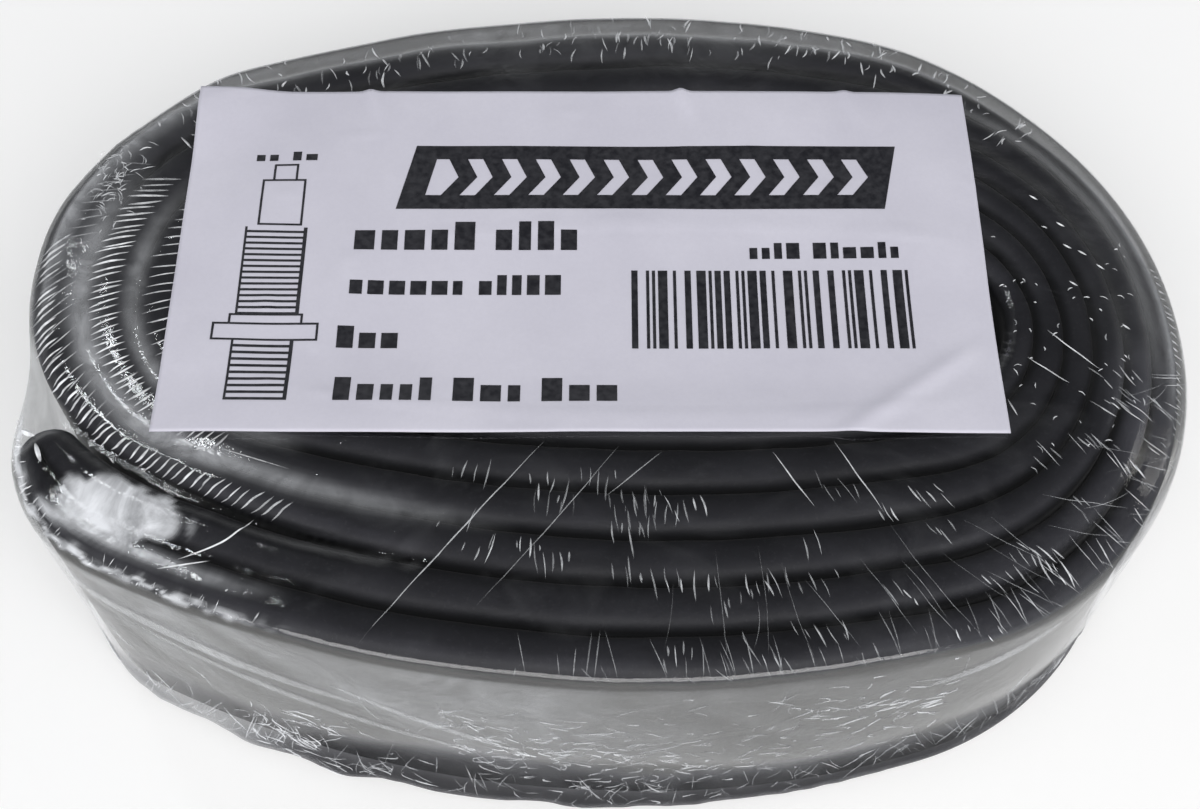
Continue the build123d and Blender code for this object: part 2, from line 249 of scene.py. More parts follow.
def blur(grid, radius):
    """Box blur, twice, over a radius in mm."""
    reach = max(1, int(round(radius / CELL)))
    for _ in range(2):
        for axis in (0, 1):
            grid = sum(np.roll(grid, step, axis) for step in range(-reach, reach + 1)) / (2 * reach + 1)
    return grid


def sample(grid, x, y):
    """Value of a raster at points in mm, between its cells."""
    a = np.clip((np.asarray(x) + RASTER_X) / CELL - 0.5, 0, COLUMNS - 1.001)
    b = np.clip((np.asarray(y) + RASTER_Y) / CELL - 0.5, 0, ROWS - 1.001)
    i, j = a.astype(int), b.astype(int)
    return bilinear(grid, i, j, i + 1, j + 1, a - i, b - j)


# --- meshes
def make_object(name, points, faces, surface, attributes=None, smooth=True):
    """A mesh object from points in mm."""
    mesh = bpy.data.meshes.new(name)
    mesh.from_pydata((np.asarray(points, float) * MM).tolist(), [], faces)
    for key, values in (attributes or {}).items():
        layer = mesh.attributes.new(key, "FLOAT", "POINT")
        layer.data.foreach_set("value", np.asarray(values, np.float32))
    mesh.polygons.foreach_set("use_smooth", [smooth] * len(mesh.polygons))
    mesh.update()
    obj = bpy.data.objects.new(name, mesh)
    bpy.context.scene.collection.objects.link(obj)
    obj.data.materials.append(surface)
    return obj


def grid_faces(rows, columns, closed_columns=False, first=0):
    """Quads between the rows and columns of a grid of points."""
    faces = []
    last = columns if closed_columns else columns - 1
    for row in range(rows - 1):
        for column in range(last):
            after = (column + 1) % columns
            a, b = first + row * columns + column, first + row * columns + after
            faces.append((a, b, b + columns, a + columns))
    return faces


# --- materials
class Nodes:
    """Adds nodes to a shader tree."""

    def __init__(self, tree):
        self.tree = tree

    def plug(self, socket, value):
        """Links a socket, or sets its value; a colour is given without its alpha."""
        if isinstance(value, bpy.types.NodeSocket):
            self.tree.links.new(value, socket)
        elif socket.type == "RGBA":
            socket.default_value = (*value, 1.0)
        else:
            socket.default_value = value

    def add(self, kind, inputs=None, **settings):
        """A node; inputs maps a socket's name or number to a value or to another socket."""
        made = self.tree.nodes.new(kind)
        for key, value in settings.items():
            setattr(made, key, value)
        for key, value in (inputs or {}).items():
            self.plug(made.inputs[key], value)
        return made

    def position(self):
        return self.add("ShaderNodeTexCoord").outputs["Object"]

    def noise(self, scale, detail=3.0, where=None, roughness=0.5, distortion=0.0):
        return self.add("ShaderNodeTexNoise", {
            "Vector": where or self.position(), "Scale": scale, "Detail": detail,
            "Roughness": roughness, "Distortion": distortion}).outputs["Fac"]

    def remap(self, value, low, high, to_low=0.0, to_high=1.0):
        return self.add("ShaderNodeMapRange", {
            "Value": value, "From Min": low, "From Max": high,
            "To Min": to_low, "To Max": to_high}).outputs["Result"]

    def math(self, operation, a, b, clamp=False):
        return self.add("ShaderNodeMath", {0: a, 1: b}, operation=operation, use_clamp=clamp).outputs[0]

    def mix(self, share, a, b):
        """A mix of two colours."""
        made = self.add("ShaderNodeMix", data_type="RGBA")
        sockets = {socket.identifier: socket for socket in made.inputs}
        for key, value in (("Factor_Float", share), ("A_Color", a), ("B_Color", b)):
            self.plug(sockets[key], value)
        return {socket.identifier: socket for socket in made.outputs}["Result_Color"]

    def attribute(self, name):
        return self.add("ShaderNodeAttribute", attribute_name=name).outputs["Fac"]

    def bump(self, height, strength, distance, under=None):
        """A bumped normal, on top of another where one is given."""
        inputs = {"Height": height, "Strength": strength, "Distance": distance}
        if under:
            inputs["Normal"] = under
        return self.add("ShaderNodeBump", inputs).outputs["Normal"]

    def principled(self, colour, rough, normal=None, others=None):
        inputs = {"Base Color": colour, "Roughness": rough, **(others or {})}
        if normal:
            inputs["Normal"] = normal
        return self.add("ShaderNodeBsdfPrincipled", inputs).outputs[0]

    def clear(self, colour):
        return self.add("ShaderNodeBsdfTransparent", {"Color": colour}).outputs[0]

    def blend(self, share, one, other):
        """A mix of two shaders."""
        return self.add("ShaderNodeMixShader", {0: share, 1: one, 2: other}).outputs[0]


def material(name, build, *settings):
    """A new material, with the shader that build makes from its nodes."""
    made = bpy.data.materials.new(name)
    made.use_nodes = True
    made.node_tree.nodes.clear()
    nodes = Nodes(made.node_tree)
    nodes.add("ShaderNodeOutputMaterial", {"Surface": build(nodes, *settings)})
    return made


def butyl(nodes):
    """Matt black butyl with talc left on the flat sides; painted shade makes it near black down each
    ridge's sides and in the grooves, and flat black at the foot.
    """
    where = nodes.position()
    height = nodes.add("ShaderNodeSeparateXYZ", {"Vector": where}).outputs["Z"]
    clouds = nodes.noise(160.0, 4.0, where, 0.6)
    grains = nodes.noise(2600.0, 3.0, where, 0.7)
    drifts = nodes.noise(55.0, 3.0, where, 0.55)
    edge = nodes.math("ADD", height, nodes.remap(drifts, 0.3, 0.7, -0.0025, 0.0025))
    # painted shade at the foot: the talc fades out towards the floor
    above_foot_shade = nodes.math("MAXIMUM", nodes.remap(edge, 0.0065, 0.0095), 0.22)
    dust = nodes.math("MULTIPLY", nodes.attribute("dust"), nodes.remap(clouds, 0.3, 0.62, 0.65, 1.0))
    dust = nodes.math("MULTIPLY", dust, above_foot_shade)
    fold = nodes.mix(nodes.remap(clouds, 0.35, 0.7), (0.033, 0.033, 0.042), (0.055, 0.055, 0.067))
    speckled = nodes.mix(nodes.remap(grains, 0.56, 0.74, 0.0, 0.3), fold, (0.10, 0.10, 0.112))
    # painted shade: near black where painted_light is low, down each ridge's sides and in the grooves; the
    # crowns keep the rubber's own colour
    painted_light = nodes.remap(nodes.attribute("painted_light"), 0.30, 0.85)
    shaded = nodes.mix(painted_light, (0.004, 0.004, 0.006), speckled)
    side = nodes.mix(nodes.remap(grains, 0.3, 0.7), (0.060, 0.059, 0.054), (0.088, 0.086, 0.078))
    normal = nodes.bump(grains, 0.25, 0.00006, nodes.bump(clouds, 0.3, 0.0003))
    rubber = nodes.principled(
        nodes.mix(dust, shaded, side), nodes.remap(clouds, 0.2, 0.8, 0.5, 0.68), normal,
        {"Specular IOR Level": 0.42, "Sheen Weight": 0.12, "Sheen Roughness": 0.4})
    # painted shade: a flat near-black diffuse shader takes over towards the foot
    foot_shade_black = nodes.add("ShaderNodeBsdfDiffuse", {"Color": (0.030, 0.030, 0.034)}).outputs[0]
    foot_shade = nodes.remap(edge, 0.0075, 0.0035)
    shade = nodes.math("MULTIPLY", foot_shade, nodes.remap(drifts, 0.35, 0.6, 0.55, 0.95))
    return nodes.blend(shade, rubber, foot_shade_black)


def shrink_film(nodes):
    """Clear film: sees through, glossy at a slant, milky where it is gathered; the same milky white paints
    highlights, glints and a reflection, and a dark grey tint paints shade at the foot.
    """
    where = nodes.position()
    swirls = nodes.noise(190.0, 5.0, where, 0.62, 1.4)
    ripples = nodes.noise(900.0, 3.0, where, 0.5, 0.6)
    scuffs = nodes.noise(75.0, 4.0, where, 0.6, 2.2)
    normal = nodes.bump(ripples, 0.2, 0.00002, nodes.bump(swirls, 0.35, 0.00022))
    facing = nodes.add("ShaderNodeFresnel", {"IOR": 1.52, "Normal": normal}).outputs[0]
    mirror = nodes.math("MULTIPLY", facing, nodes.attribute("gloss"), True)
    gloss = nodes.add("ShaderNodeBsdfGlossy", {"Color": (1, 1, 1), "Roughness": 0.07, "Normal": normal})
    # painted shade: the film's tint turns dark grey where smoke is set, at the foot of the front wall
    tint_and_shade = nodes.mix(nodes.attribute("smoke"), (0.965, 0.97, 0.975), (0.40, 0.40, 0.415))
    skin = nodes.blend(mirror, nodes.clear(tint_and_shade), gloss.outputs[0])
    # white both for the film's real haze and for painted highlights, glints and a reflection
    milk_and_highlight = nodes.principled((0.86, 0.88, 0.92), 0.3, normal)
    haze_and_highlight = nodes.math("MULTIPLY", nodes.attribute("haze_and_highlight"), nodes.remap(swirls, 0.3, 0.7, 0.45, 1.35))
    veil_and_highlight = nodes.math("ADD", haze_and_highlight, nodes.remap(scuffs, 0.52, 0.75, 0.0, 0.02), True)
    return nodes.blend(veil_and_highlight, skin, milk_and_highlight)


def film_crease(nodes):
    """Sharp folds of the film, with painted highlights: the light they catch is painted on as white lines.
    """
    broken = nodes.remap(nodes.noise(1500.0, 2.0), 0.25, 0.6, 0.5, 1.0)
    share = nodes.math("MULTIPLY", nodes.attribute("bright"), broken, True)
    return nodes.blend(share, nodes.clear((1, 1, 1)), nodes.principled((0.93, 0.95, 0.98), 0.18))


def paper(nodes):
    """Coated label paper, a touch blue, with faint mottling and fibres."""
    where = nodes.position()
    mottle = nodes.noise(60.0, 4.0, where, 0.6)
    fibre = nodes.noise(2400.0, 4.0, where, 0.7)
    base = nodes.mix(nodes.remap(mottle, 0.3, 0.7), (0.585, 0.575, 0.66), (0.67, 0.66, 0.745))
    colour = nodes.mix(nodes.remap(fibre, 0.3, 0.7, 0.0, 0.12), base, (0.42, 0.41, 0.48))
    return nodes.principled(colour, 0.5, nodes.bump(fibre, 0.12, 0.00003, nodes.bump(mottle, 0.25, 0.0006)))


def printed_ink(nodes):
    patches = nodes.noise(1800.0, 3.0)
    colour = nodes.mix(nodes.remap(patches, 0.35, 0.75), (0.008, 0.008, 0.012), (0.03, 0.03, 0.036))
    return nodes.principled(colour, nodes.remap(patches, 0.2, 0.8, 0.32, 0.5))


def metal(nodes, light, dark, rough):
    """Turned metal with fine lathe rings across the valve's axis and a little tarnish."""
    where = nodes.position()
    tarnish = nodes.noise(420.0, 4.0, where, 0.6)
    rings = nodes.add("ShaderNodeTexWave", {
        "Vector": where, "Scale": 1900.0, "Distortion": 0.6, "Detail": 2.0}, bands_direction="X")
    colour = nodes.mix(nodes.remap(tarnish, 0.35, 0.75), light, dark)
    normal = nodes.bump(rings.outputs["Fac"], 0.12, 0.00002)
    return nodes.principled(colour, nodes.remap(tarnish, 0.2, 0.8, rough, rough + 0.18), normal,
                            {"Metallic": 1.0})


def moulded(nodes, light, dark, rough, scale):
    """Moulded rubber or plastic: cloudy colour, fine pores and uneven gloss."""
    where = nodes.position()
    clouds = nodes.noise(scale, 4.0, where, 0.6)
    pores = nodes.noise(scale * 12.0, 2.0, where, 0.6)
    colour = nodes.mix(nodes.remap(clouds, 0.3, 0.75), dark, light)
    uneven = nodes.remap(clouds, 0.2, 0.8, rough, rough + 0.15)
    return nodes.principled(colour, uneven, nodes.bump(pores, 0.2, 0.00004))


def pale_floor(nodes):
    return nodes.principled((0.98, 0.98, 0.98), 0.7, None, {
        "Emission Color": (1, 1, 1), "Emission Strength": 0.1})


BUTYL = material("butyl_rubber", butyl)
FILM = material("shrink_film_clear", shrink_film)
CREASE = material("shrink_film_creases", film_crease)
PAPER = material("label_paper", paper)
INK = material("label_ink", printed_ink)
# CAD node: its material's name and kind, light and dark colour, roughness, size of its clouds
CAD_LOOKS = {
    "valve_foot": ("foot_rubber", moulded, (0.036, 0.036, 0.038), (0.014, 0.014, 0.015), 0.55, 300.0),
    "valve_stem": ("stem_nickel", metal, (0.62, 0.60, 0.56), (0.42, 0.40, 0.36), 0.22),
    "valve_core": ("core_brass", metal, (0.78, 0.57, 0.25), (0.50, 0.34, 0.14), 0.2),
    "core_gasket": ("gasket_rubber", moulded, (0.05, 0.02, 0.018), (0.025, 0.01, 0.01), 0.5, 500.0),
    "valve_pin": ("pin_brass", metal, (0.80, 0.60, 0.28), (0.52, 0.36, 0.15), 0.18),
    "pin_seal": ("seal_rubber", moulded, (0.045, 0.045, 0.05), (0.02, 0.02, 0.022), 0.5, 500.0),
    "lock_nut": ("lock_nut_brass", metal, (0.74, 0.54, 0.24), (0.48, 0.33, 0.14), 0.24),
    "rim_nut": ("rim_nut_nickel", metal, (0.66, 0.64, 0.60), (0.45, 0.43, 0.40), 0.25),
    "dust_cap": ("cap_plastic_black", moulded, (0.03, 0.03, 0.033), (0.012, 0.012, 0.013), 0.28, 350.0),
}
for node_name, look in CAD_LOOKS.items():
    finish = material(*look)
    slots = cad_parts[node_name].data.materials
    for place in range(len(slots)):
        slots[place] = finish

# --- inner tube: the flattened strip, coiled on edge
TUBE_TOP, TUBE_BOTTOM = 29.62, 0.3
SEAM = 0.06         # gap between a ridge's face and its neighbour's
DOME = 1.5
DOME_STEPS = 14
SIDE_LEVELS = 6
END_ROUND, END_STEPS = 1.6, 7
# painted light on a ridge's sides and on its exposed outer face: the sides get full painted shade, the face
# a little
SIDE_PAINTED_LIGHT, FACE_PAINTED_LIGHT = 0.3, 0.75
EXPOSED_DEPTH = 1.66


def ridge_drop(x, y, depth):
    """How far a ridge's top lies below the roll's top; depth 0 is the outermost ridge."""
    outer = np.clip(1.0 - depth, 0.0, 1.0)
    second = np.clip(1.0 - np.abs(depth - 1.0), 0.0, 1.0)
    right = ramp(18.0, 40.0, x) * ramp(30.0, 20.0, y)
    left = ramp(-30.0, -44.0, x) * ramp(0.0, 12.0, y)
    return right * (2.6 * outer + 1.3 * second) + left * 0.9 * outer


edge_one, edge_two = strip_edges()
middle = (edge_one + edge_two) / 2
apart = edge_one - edge_two
half_width = np.linalg.norm(apart, axis=1) / 2
lateral = apart / (2 * half_width[:, None])
way = distances(middle)
spiral_count = len(spiral_line(0.0))
inner_start = len(edge_one) - spiral_count - (TAIL_STEPS - 1)
quarters_at = np.zeros(len(middle))
quarters_at[:spiral_count] = np.arange(spiral_count)[::-1] / (2 * ARC_STEPS)
quarters_at[inner_start:] = (np.arange(len(middle) - inner_start) + 1) / (2 * ARC_STEPS)
lag_at = np.where(np.arange(len(middle)) < len(middle) // 2, 0.0, 1.0)
depth_at = quarters_at / 2 + lag_at


def rounded_end(last, before, half):
    """Extra stations past an end: middle points and half widths that close it roundly."""
    heading = (last - before) / np.linalg.norm(last - before)
    angle = np.linspace(0.0, math.pi / 2 * 0.97, END_STEPS + 1)[1:]
    return last + np.sin(angle)[:, None] * END_ROUND * heading, half * np.cos(angle)


start_mids, start_halves = rounded_end(middle[0], middle[1], half_width[0])
end_mids, end_halves = rounded_end(middle[-1], middle[-2], half_width[-1])
middle = np.concatenate((start_mids[::-1], middle, end_mids))
half_width = np.concatenate((start_halves[::-1], half_width, end_halves))
lateral = np.pad(lateral, ((END_STEPS, END_STEPS), (0, 0)), "edge")
depth_at = np.pad(depth_at, END_STEPS, "edge")
past_end = np.linspace(0.1, END_ROUND, END_STEPS)
way = np.concatenate((way[0] - past_end[::-1], way, way[-1] + past_end))

top_wave = 0.16 * wander(way, 9.0, 5, 3.0) + 0.10 * wander(way, 2.6, 6, 9.0)
ridge_top = TUBE_TOP - 0.2 + top_wave - ridge_drop(middle[:, 0], middle[:, 1], depth_at)
narrow = np.clip(half_width / 1.9, 0.15, 1.0)
ridge_top = ridge_top - (1.0 - narrow) * 1.2
squeeze = np.clip(half_width - SEAM + 0.04 * wander(way, 4.0, 7, 20.0), 0.12, None)
lean = 0.22 * wander(way, 14.0, 8, 31.0)

dome_angle = np.linspace(-math.pi / 2, math.pi / 2, DOME_STEPS)
dome_across = [math.sin(angle) for angle in dome_angle]
dome_rise = [math.cos(angle) for angle in dome_angle]
side_shares = np.linspace(0.0, 1.0, SIDE_LEVELS + 2)[1:-1]


def strip_section(index):
    """Closed section of the strip at one station, as points (across, z)."""
    half, top = squeeze[index], ridge_top[index]
    dome = min(DOME, 1.15 * half + 0.2)
    points = []
    for w, rise in zip(dome_across, dome_rise):
        shape = abs(w) ** 0.78 * (1 if w > 0 else -1)
        points.append((half * shape + lean[index] * rise * 0.5, top - dome + dome * abs(rise) ** 0.8))
    for share in side_shares:
        points.append((half, lerp(top - dome, TUBE_BOTTOM + dome, share)))
    for w, rise in zip(dome_across[::-1], dome_rise[::-1]):
        points.append((half * w, TUBE_BOTTOM + dome - dome * rise))
    for share in side_shares:
        points.append((-half, lerp(TUBE_BOTTOM + dome, top - dome, share)))
    return points


strip_points, painted_light, dust = [], [], []
# painted light for the butyl: the dome's rise, 1 on each ridge's crown, falling to painted shade at its
# edges
section_painted_light = 2 * (dome_rise + [SIDE_PAINTED_LIGHT] * SIDE_LEVELS)
section_size = len(section_painted_light)
for index in range(len(middle)):
    exposed = depth_at[index] < EXPOSED_DEPTH and index < len(middle) * 0.55
    for place, (across, z) in enumerate(strip_section(index)):
        spot = middle[index] + lateral[index] * across
        strip_points.append((spot[0], spot[1], z))
        on_face = exposed and across > 0.9 * squeeze[index]
        painted_light.append(max(section_painted_light[place], FACE_PAINTED_LIGHT if on_face else 0.0))
        dust.append(1.0 if on_face and z < ridge_top[index] - 1.0 else 0.0)
strip_faces = grid_faces(len(middle), section_size, True)
first_cap = list(range(section_size))
last_cap = [(len(middle) - 1) * section_size + k for k in range(section_size)]
strip_faces += [tuple(first_cap), tuple(reversed(last_cap))]
tube = make_object("inner_tube_strip", strip_points, strip_faces, BUTYL, {"painted_light": painted_light, "dust": dust})

# --- height of the roll's top, then of the film over it
HOLLOW_X, HOLLOW_HALF_X, HOLLOW_HALF_Y = 6.0, 36.0, 14.0
FILM_OVER_HOLLOW = 29.0
LOW_TOP = 20.0      # below this, a raster cell is beside the roll or in a gap
HOLLOW_TOP = 27.0   # below this, a cell of the hollow isn't covered by the tube

strip_grid = np.array(strip_points).reshape(len(middle), section_size, 3)[:, :DOME_STEPS]
roll_top = np.zeros((COLUMNS, ROWS))
for step in np.linspace(0.0, 1.0, 8, endpoint=False):
    between = lerp(strip_grid[:-1], strip_grid[1:], step)
    for cross in np.linspace(0.0, 1.0, 4, endpoint=False):
        dense = lerp(between[:, :-1], between[:, 1:], cross).reshape(-1, 3)
        cells_x = ((dense[:, 0] + RASTER_X) / CELL).astype(int)
        cells_y = ((dense[:, 1] + RASTER_Y) / CELL).astype(int)
        np.maximum.at(roll_top, (cells_x, cells_y), dense[:, 2])
cell_x = (np.arange(COLUMNS) + 0.5) * CELL - RASTER_X
cell_y = (np.arange(ROWS) + 0.5) * CELL - RASTER_Y
grid_x, grid_y = np.meshgrid(cell_x, cell_y, indexing="ij")
wide = spread(roll_top, 2.25)
hollow = (np.abs(grid_x - HOLLOW_X) < HOLLOW_HALF_X) & (np.abs(grid_y) < HOLLOW_HALF_Y)
hollow &= wide < HOLLOW_TOP
wide = np.where(hollow, FILM_OVER_HOLLOW, wide)
wide = np.where(wide < LOW_TOP, spread(wide, 5.0), wide)
film_top = blur(wide, 1.75) + 0.05
film_top = film_top - 0.30 * np.clip(film_top - blur(roll_top, 0.5) - 0.15, 0.0, 1.3) * ~hollow
film_top = np.minimum(np.maximum(film_top, blur(roll_top, 0.25) + 0.1), HEIGHT - 0.02)


def film_z(x, y):
    return sample(film_top, x, y)


# --- film: outline of the wrap, then rings over its bottom, side and top
WRAP_SIDE_SWEEPS = (16.0, 15.0, 20.0)
WRAP_TIP_ARCS = ((104.45, -25.0), (14.7, -51.0), (74.0, -14.0))
SHOULDER = 1.2
FOOT_ROUND = 0.8
HUG_REACH, HUG_GAP = 2.6, 0.35
FILM_COUNT = 860
BOTTOM_RINGS, BEND_STEPS, WALL_LEVELS, TOP_RINGS = 8, 7, 30, 62
WALL_BASE = 0.8
FILM_BOTTOM = 0.04
HIGHLIGHT_STEPS, CREST_STEPS, CREST_WIDTH = 220, 50, 0.55
# arc lengths, and how far the foot stands out there: the film sags outwards at the left of the front
LOOSE_FOOT = ((-60.0, -48.0, -36.0, -27.0, -14.0, 0.0, 14.0, 26.0),
              (0.0, 0.4, 1.1, 1.4, 1.2, 0.7, 0.35, 0.0))


def wrap_outline():
    """The wrap's closed oval, from its furthest front point, counter-clockwise."""
    front, right, back = np.array(((MIDDLE_X, -HALF_DEPTH), (HALF_LENGTH, RIGHT_Y),
                                   (MIDDLE_X, HALF_DEPTH)))
    shares = np.linspace(0.0, 1.0, 80)[:-1]
    tip = chain(front, 180.0, WRAP_TIP_ARCS)
    left = arc_points(*tip[-1], [1.0])
    arcs = quarter_arcs(front, right, 0.0, WRAP_SIDE_SWEEPS[0], True)
    arcs += quarter_arcs(right, back, 90.0, WRAP_SIDE_SWEEPS[1], False)
    arcs += quarter_arcs(back, left[0], 180.0, WRAP_SIDE_SWEEPS[2], True)
    tip_points = np.concatenate([arc_points(*arc, shares) for arc in tip])[::-1]
    return np.concatenate([arc_points(*arc, shares) for arc in arcs] + [left, tip_points])


def outward_normals(line):
    tangent = np.roll(line, -1, 0) - np.roll(line, 1, 0)
    tangent /= np.linalg.norm(tangent, axis=1)[:, None]
    return np.stack((tangent[:, 1], -tangent[:, 0]), axis=-1)


def eased(values, rounds):
    for _ in range(rounds):
        values = (np.roll(values, 1) + values + np.roll(values, -1)) / 3
    return values


def hugging(line):
    """The outline drawn in to the tube where the wrap's oval leaves a hollow above the tip."""
    outside = outward_normals(line)
    gap = np.full(len(line), HUG_REACH)
    for reach in np.arange(HUG_REACH, -0.01, -0.02):
        probe = line - outside * reach
        gap = np.where(sample(roll_top, probe[:, 0], probe[:, 1]) > LOW_TOP, reach, gap)
    gap = np.clip(gap - HUG_GAP, 0.0, None)
    gap *= ramp(-34.0, -44.0, line[:, 0]) * ramp(-13.0, -7.0, line[:, 1])
    gap = eased(np.minimum(gap, eased(gap, 150)), 40)
    return line - outside * gap[:, None]


def wall_relief(s, z):
    """How far the film's side lies in from the wrap's outer face; negative where loose film stands out."""
    soft = 0.05 * (noise(s, z, 9.0, 12.0, 21, AROUND) + 1.0)
    low = ramp(10.5, 4.0, z) * ramp(0.0, 2.0, z)
    gathered = low * 0.13 * (noise(s + z * 0.7, z, 1.3, 6.0, 22, AROUND) + 1.0)
    crumple = 0.85 + 0.35 * noise(s + z * 0.4, z, 4.5, 5.0, 25, AROUND)
    loose = np.interp(s % AROUND, np.array(LOOSE_FOOT[0]) % AROUND, LOOSE_FOOT[1], period=AROUND)
    return 0.02 + soft + gathered - loose * crumple * ramp(9.5, 1.5, z)


rough_outline = wrap_outline()
lengths = distances(rough_outline)
AROUND = lengths[-1]
stations = np.linspace(0.0, AROUND, FILM_COUNT, endpoint=False)
outline = hugging(points_at(stations, lengths, rough_outline))
outward = outward_normals(outline)

inner_edge = outline - outward * SHOULDER
shoulder_top = film_z(inner_edge[:, 0], inner_edge[:, 1])
shoulder_base = shoulder_top - SHOULDER
core = np.stack((np.clip(outline[:, 0] * 0.9, -22.0, 26.0), np.full(FILM_COUNT, 0.5)), axis=-1)
standing_out = (wall_relief(stations, np.full(FILM_COUNT, 1.0)) - 0.02).clip(None, 0.0)
foot_edge = outline - outward * FOOT_ROUND - outward * standing_out[:, None]

x_at, y_at = outline[:, 0], outline[:, 1]
left_milk = ramp(-24.0, -42.0, x_at) * ramp(-20.0, -4.0, y_at)
front_side = ramp(-4.0, -20.0, y_at)
back_side = ramp(14.0, 26.0, y_at)
tip_front = ramp(-22.0, -34.0, x_at) * ramp(-8.0, -12.0, y_at)
# painted shade: a dark grey tint of the film along the foot of the front wall, weaker towards the tip
front_smoke = front_side * lerp(0.3, 1.0, ramp(-36.0, -22.0, x_at))
open_web = ramp(-40.0, -44.0, x_at) * ramp(-15.0, -12.0, y_at) * ramp(0.0, -4.0, y_at)
film_rows = {"points": [], "haze_and_highlight": [], "gloss": [], "smoke": []}


def add_ring(flat, z, haze_and_highlight, gloss, smoke=0.0):
    """One ring of the film, with its milkiness and painted highlights, its gloss and its grey tint of
    painted shade.
    """
    film_rows["points"].append(np.column_stack((flat, np.broadcast_to(z, FILM_COUNT))))
    for key, value in (("haze_and_highlight", haze_and_highlight), ("gloss", gloss), ("smoke", smoke)):
        film_rows[key].append(np.broadcast_to(value, FILM_COUNT))


def highlight_line(x, y, spots, strengths, widths):
    """A painted highlight: a milky streak through spots."""
    painted_highlight = np.zeros_like(x)
    for spot, strength, width in zip(spots, strengths, widths):
        near = np.exp(-((x - spot[0]) ** 2 + (y - spot[1]) ** 2) / width ** 2)
        painted_highlight = np.maximum(painted_highlight, near * strength)
    return painted_highlight


# painted highlight streaks along ridges: (lag, quarter turns, strengths, widths)
RIDGE_HIGHLIGHTS = (
    (1.0, (2.78, 2.96, 3.32, 3.42, 3.8), (0.0, 0.28, 0.46, 0.36, 0.0), (1.3, 1.2, 1.15, 0.8, 0.7)),
    (0.35, (0.85, 0.97, 1.2, 1.35), (0.0, 0.22, 0.12, 0.0), (0.5, 0.5, 0.5, 0.5)),
    (0.2, (2.45, 2.65, 2.9, 3.08), (0.0, 0.12, 0.24, 0.0), (1.6, 1.6, 1.6, 1.4)),
    (0.0, (6.72, 6.95, 7.3, 7.45), (0.0, 0.18, 0.30, 0.0), (0.8, 0.8, 0.8, 0.8)),
)
# painted highlight along the outermost ridge's crest beside the tip, where the film shines
CREST = np.array(((-44.9, -18.6), (-42.2, -20.1), (-37.1, -22.5),
                  (-32.2, -24.5), (-27.9, -25.9), (-24.0, -26.8)))
painted_highlights = []
for lag, quarters, strengths, widths in RIDGE_HIGHLIGHTS:
    along = np.linspace(quarters[0], quarters[-1], HIGHLIGHT_STEPS)
    painted_highlights.append(([spiral_point(at, lag) for at in along], np.interp(along, quarters, strengths),
                  np.interp(along, quarters, widths)))
along = np.linspace(0.0, 1.0, CREST_STEPS)
crest_spots = points_at(along * (len(CREST) - 1), np.arange(len(CREST)), CREST)
painted_highlights.append((crest_spots, lerp(0.8, 0.0, along), np.full(CREST_STEPS, CREST_WIDTH)))
# painted reflection of the window light: a white patch over the tip
REFLECTION_X, REFLECTION_Y = -38.2, -19.0
REFLECTION_LENGTH, REFLECTION_DEPTH = 5.6, 2.3
REFLECTION_COS, REFLECTION_SIN = 0.95, 0.32


def top_haze_and_highlight(x, y, share):
    """Milkiness of the film on the roll's top, with painted highlights along ridges and a painted
    reflection: the white patch that lies over the tip.
    """
    left = ramp(-34.0, -46.0, x) * ramp(-8.0, 6.0, y)
    back = ramp(25.0, 32.0, y)
    right = ramp(38.0, 47.0, x) * ramp(-16.0, -4.0, y) * ramp(24.0, 12.0, y)
    # painted reflection: a white patch over the tip, broken by streaks
    along = (x - REFLECTION_X) * REFLECTION_COS - (y - REFLECTION_Y) * REFLECTION_SIN
    off = (x - REFLECTION_X) * REFLECTION_SIN + (y - REFLECTION_Y) * REFLECTION_COS
    streaks = noise(along + 0.3 * off, off, 0.8, 3.5, 31)
    painted_reflection = ramp(1.12, 0.86, np.hypot(along / REFLECTION_LENGTH, off / REFLECTION_DEPTH) + 0.2 * streaks)
    painted_reflection *= 0.72 + 0.28 * streaks
    painted_highlight = np.max([highlight_line(x, y, *knots) for knots in painted_highlights], axis=0)
    rim = ramp(0.085, 0.0, share) * (0.6 + 0.4 * noise(x + y, y - x, 1.1, 1.6, 32))
    outer = ramp(-26.0, -38.0, x) * ramp(-6.0, 4.0, y) * 0.20 + ramp(22.0, 28.0, y) * 0.10
    return 0.03 * left + 0.06 * back + outer * rim + 0.02 * right + painted_reflection + painted_highlight


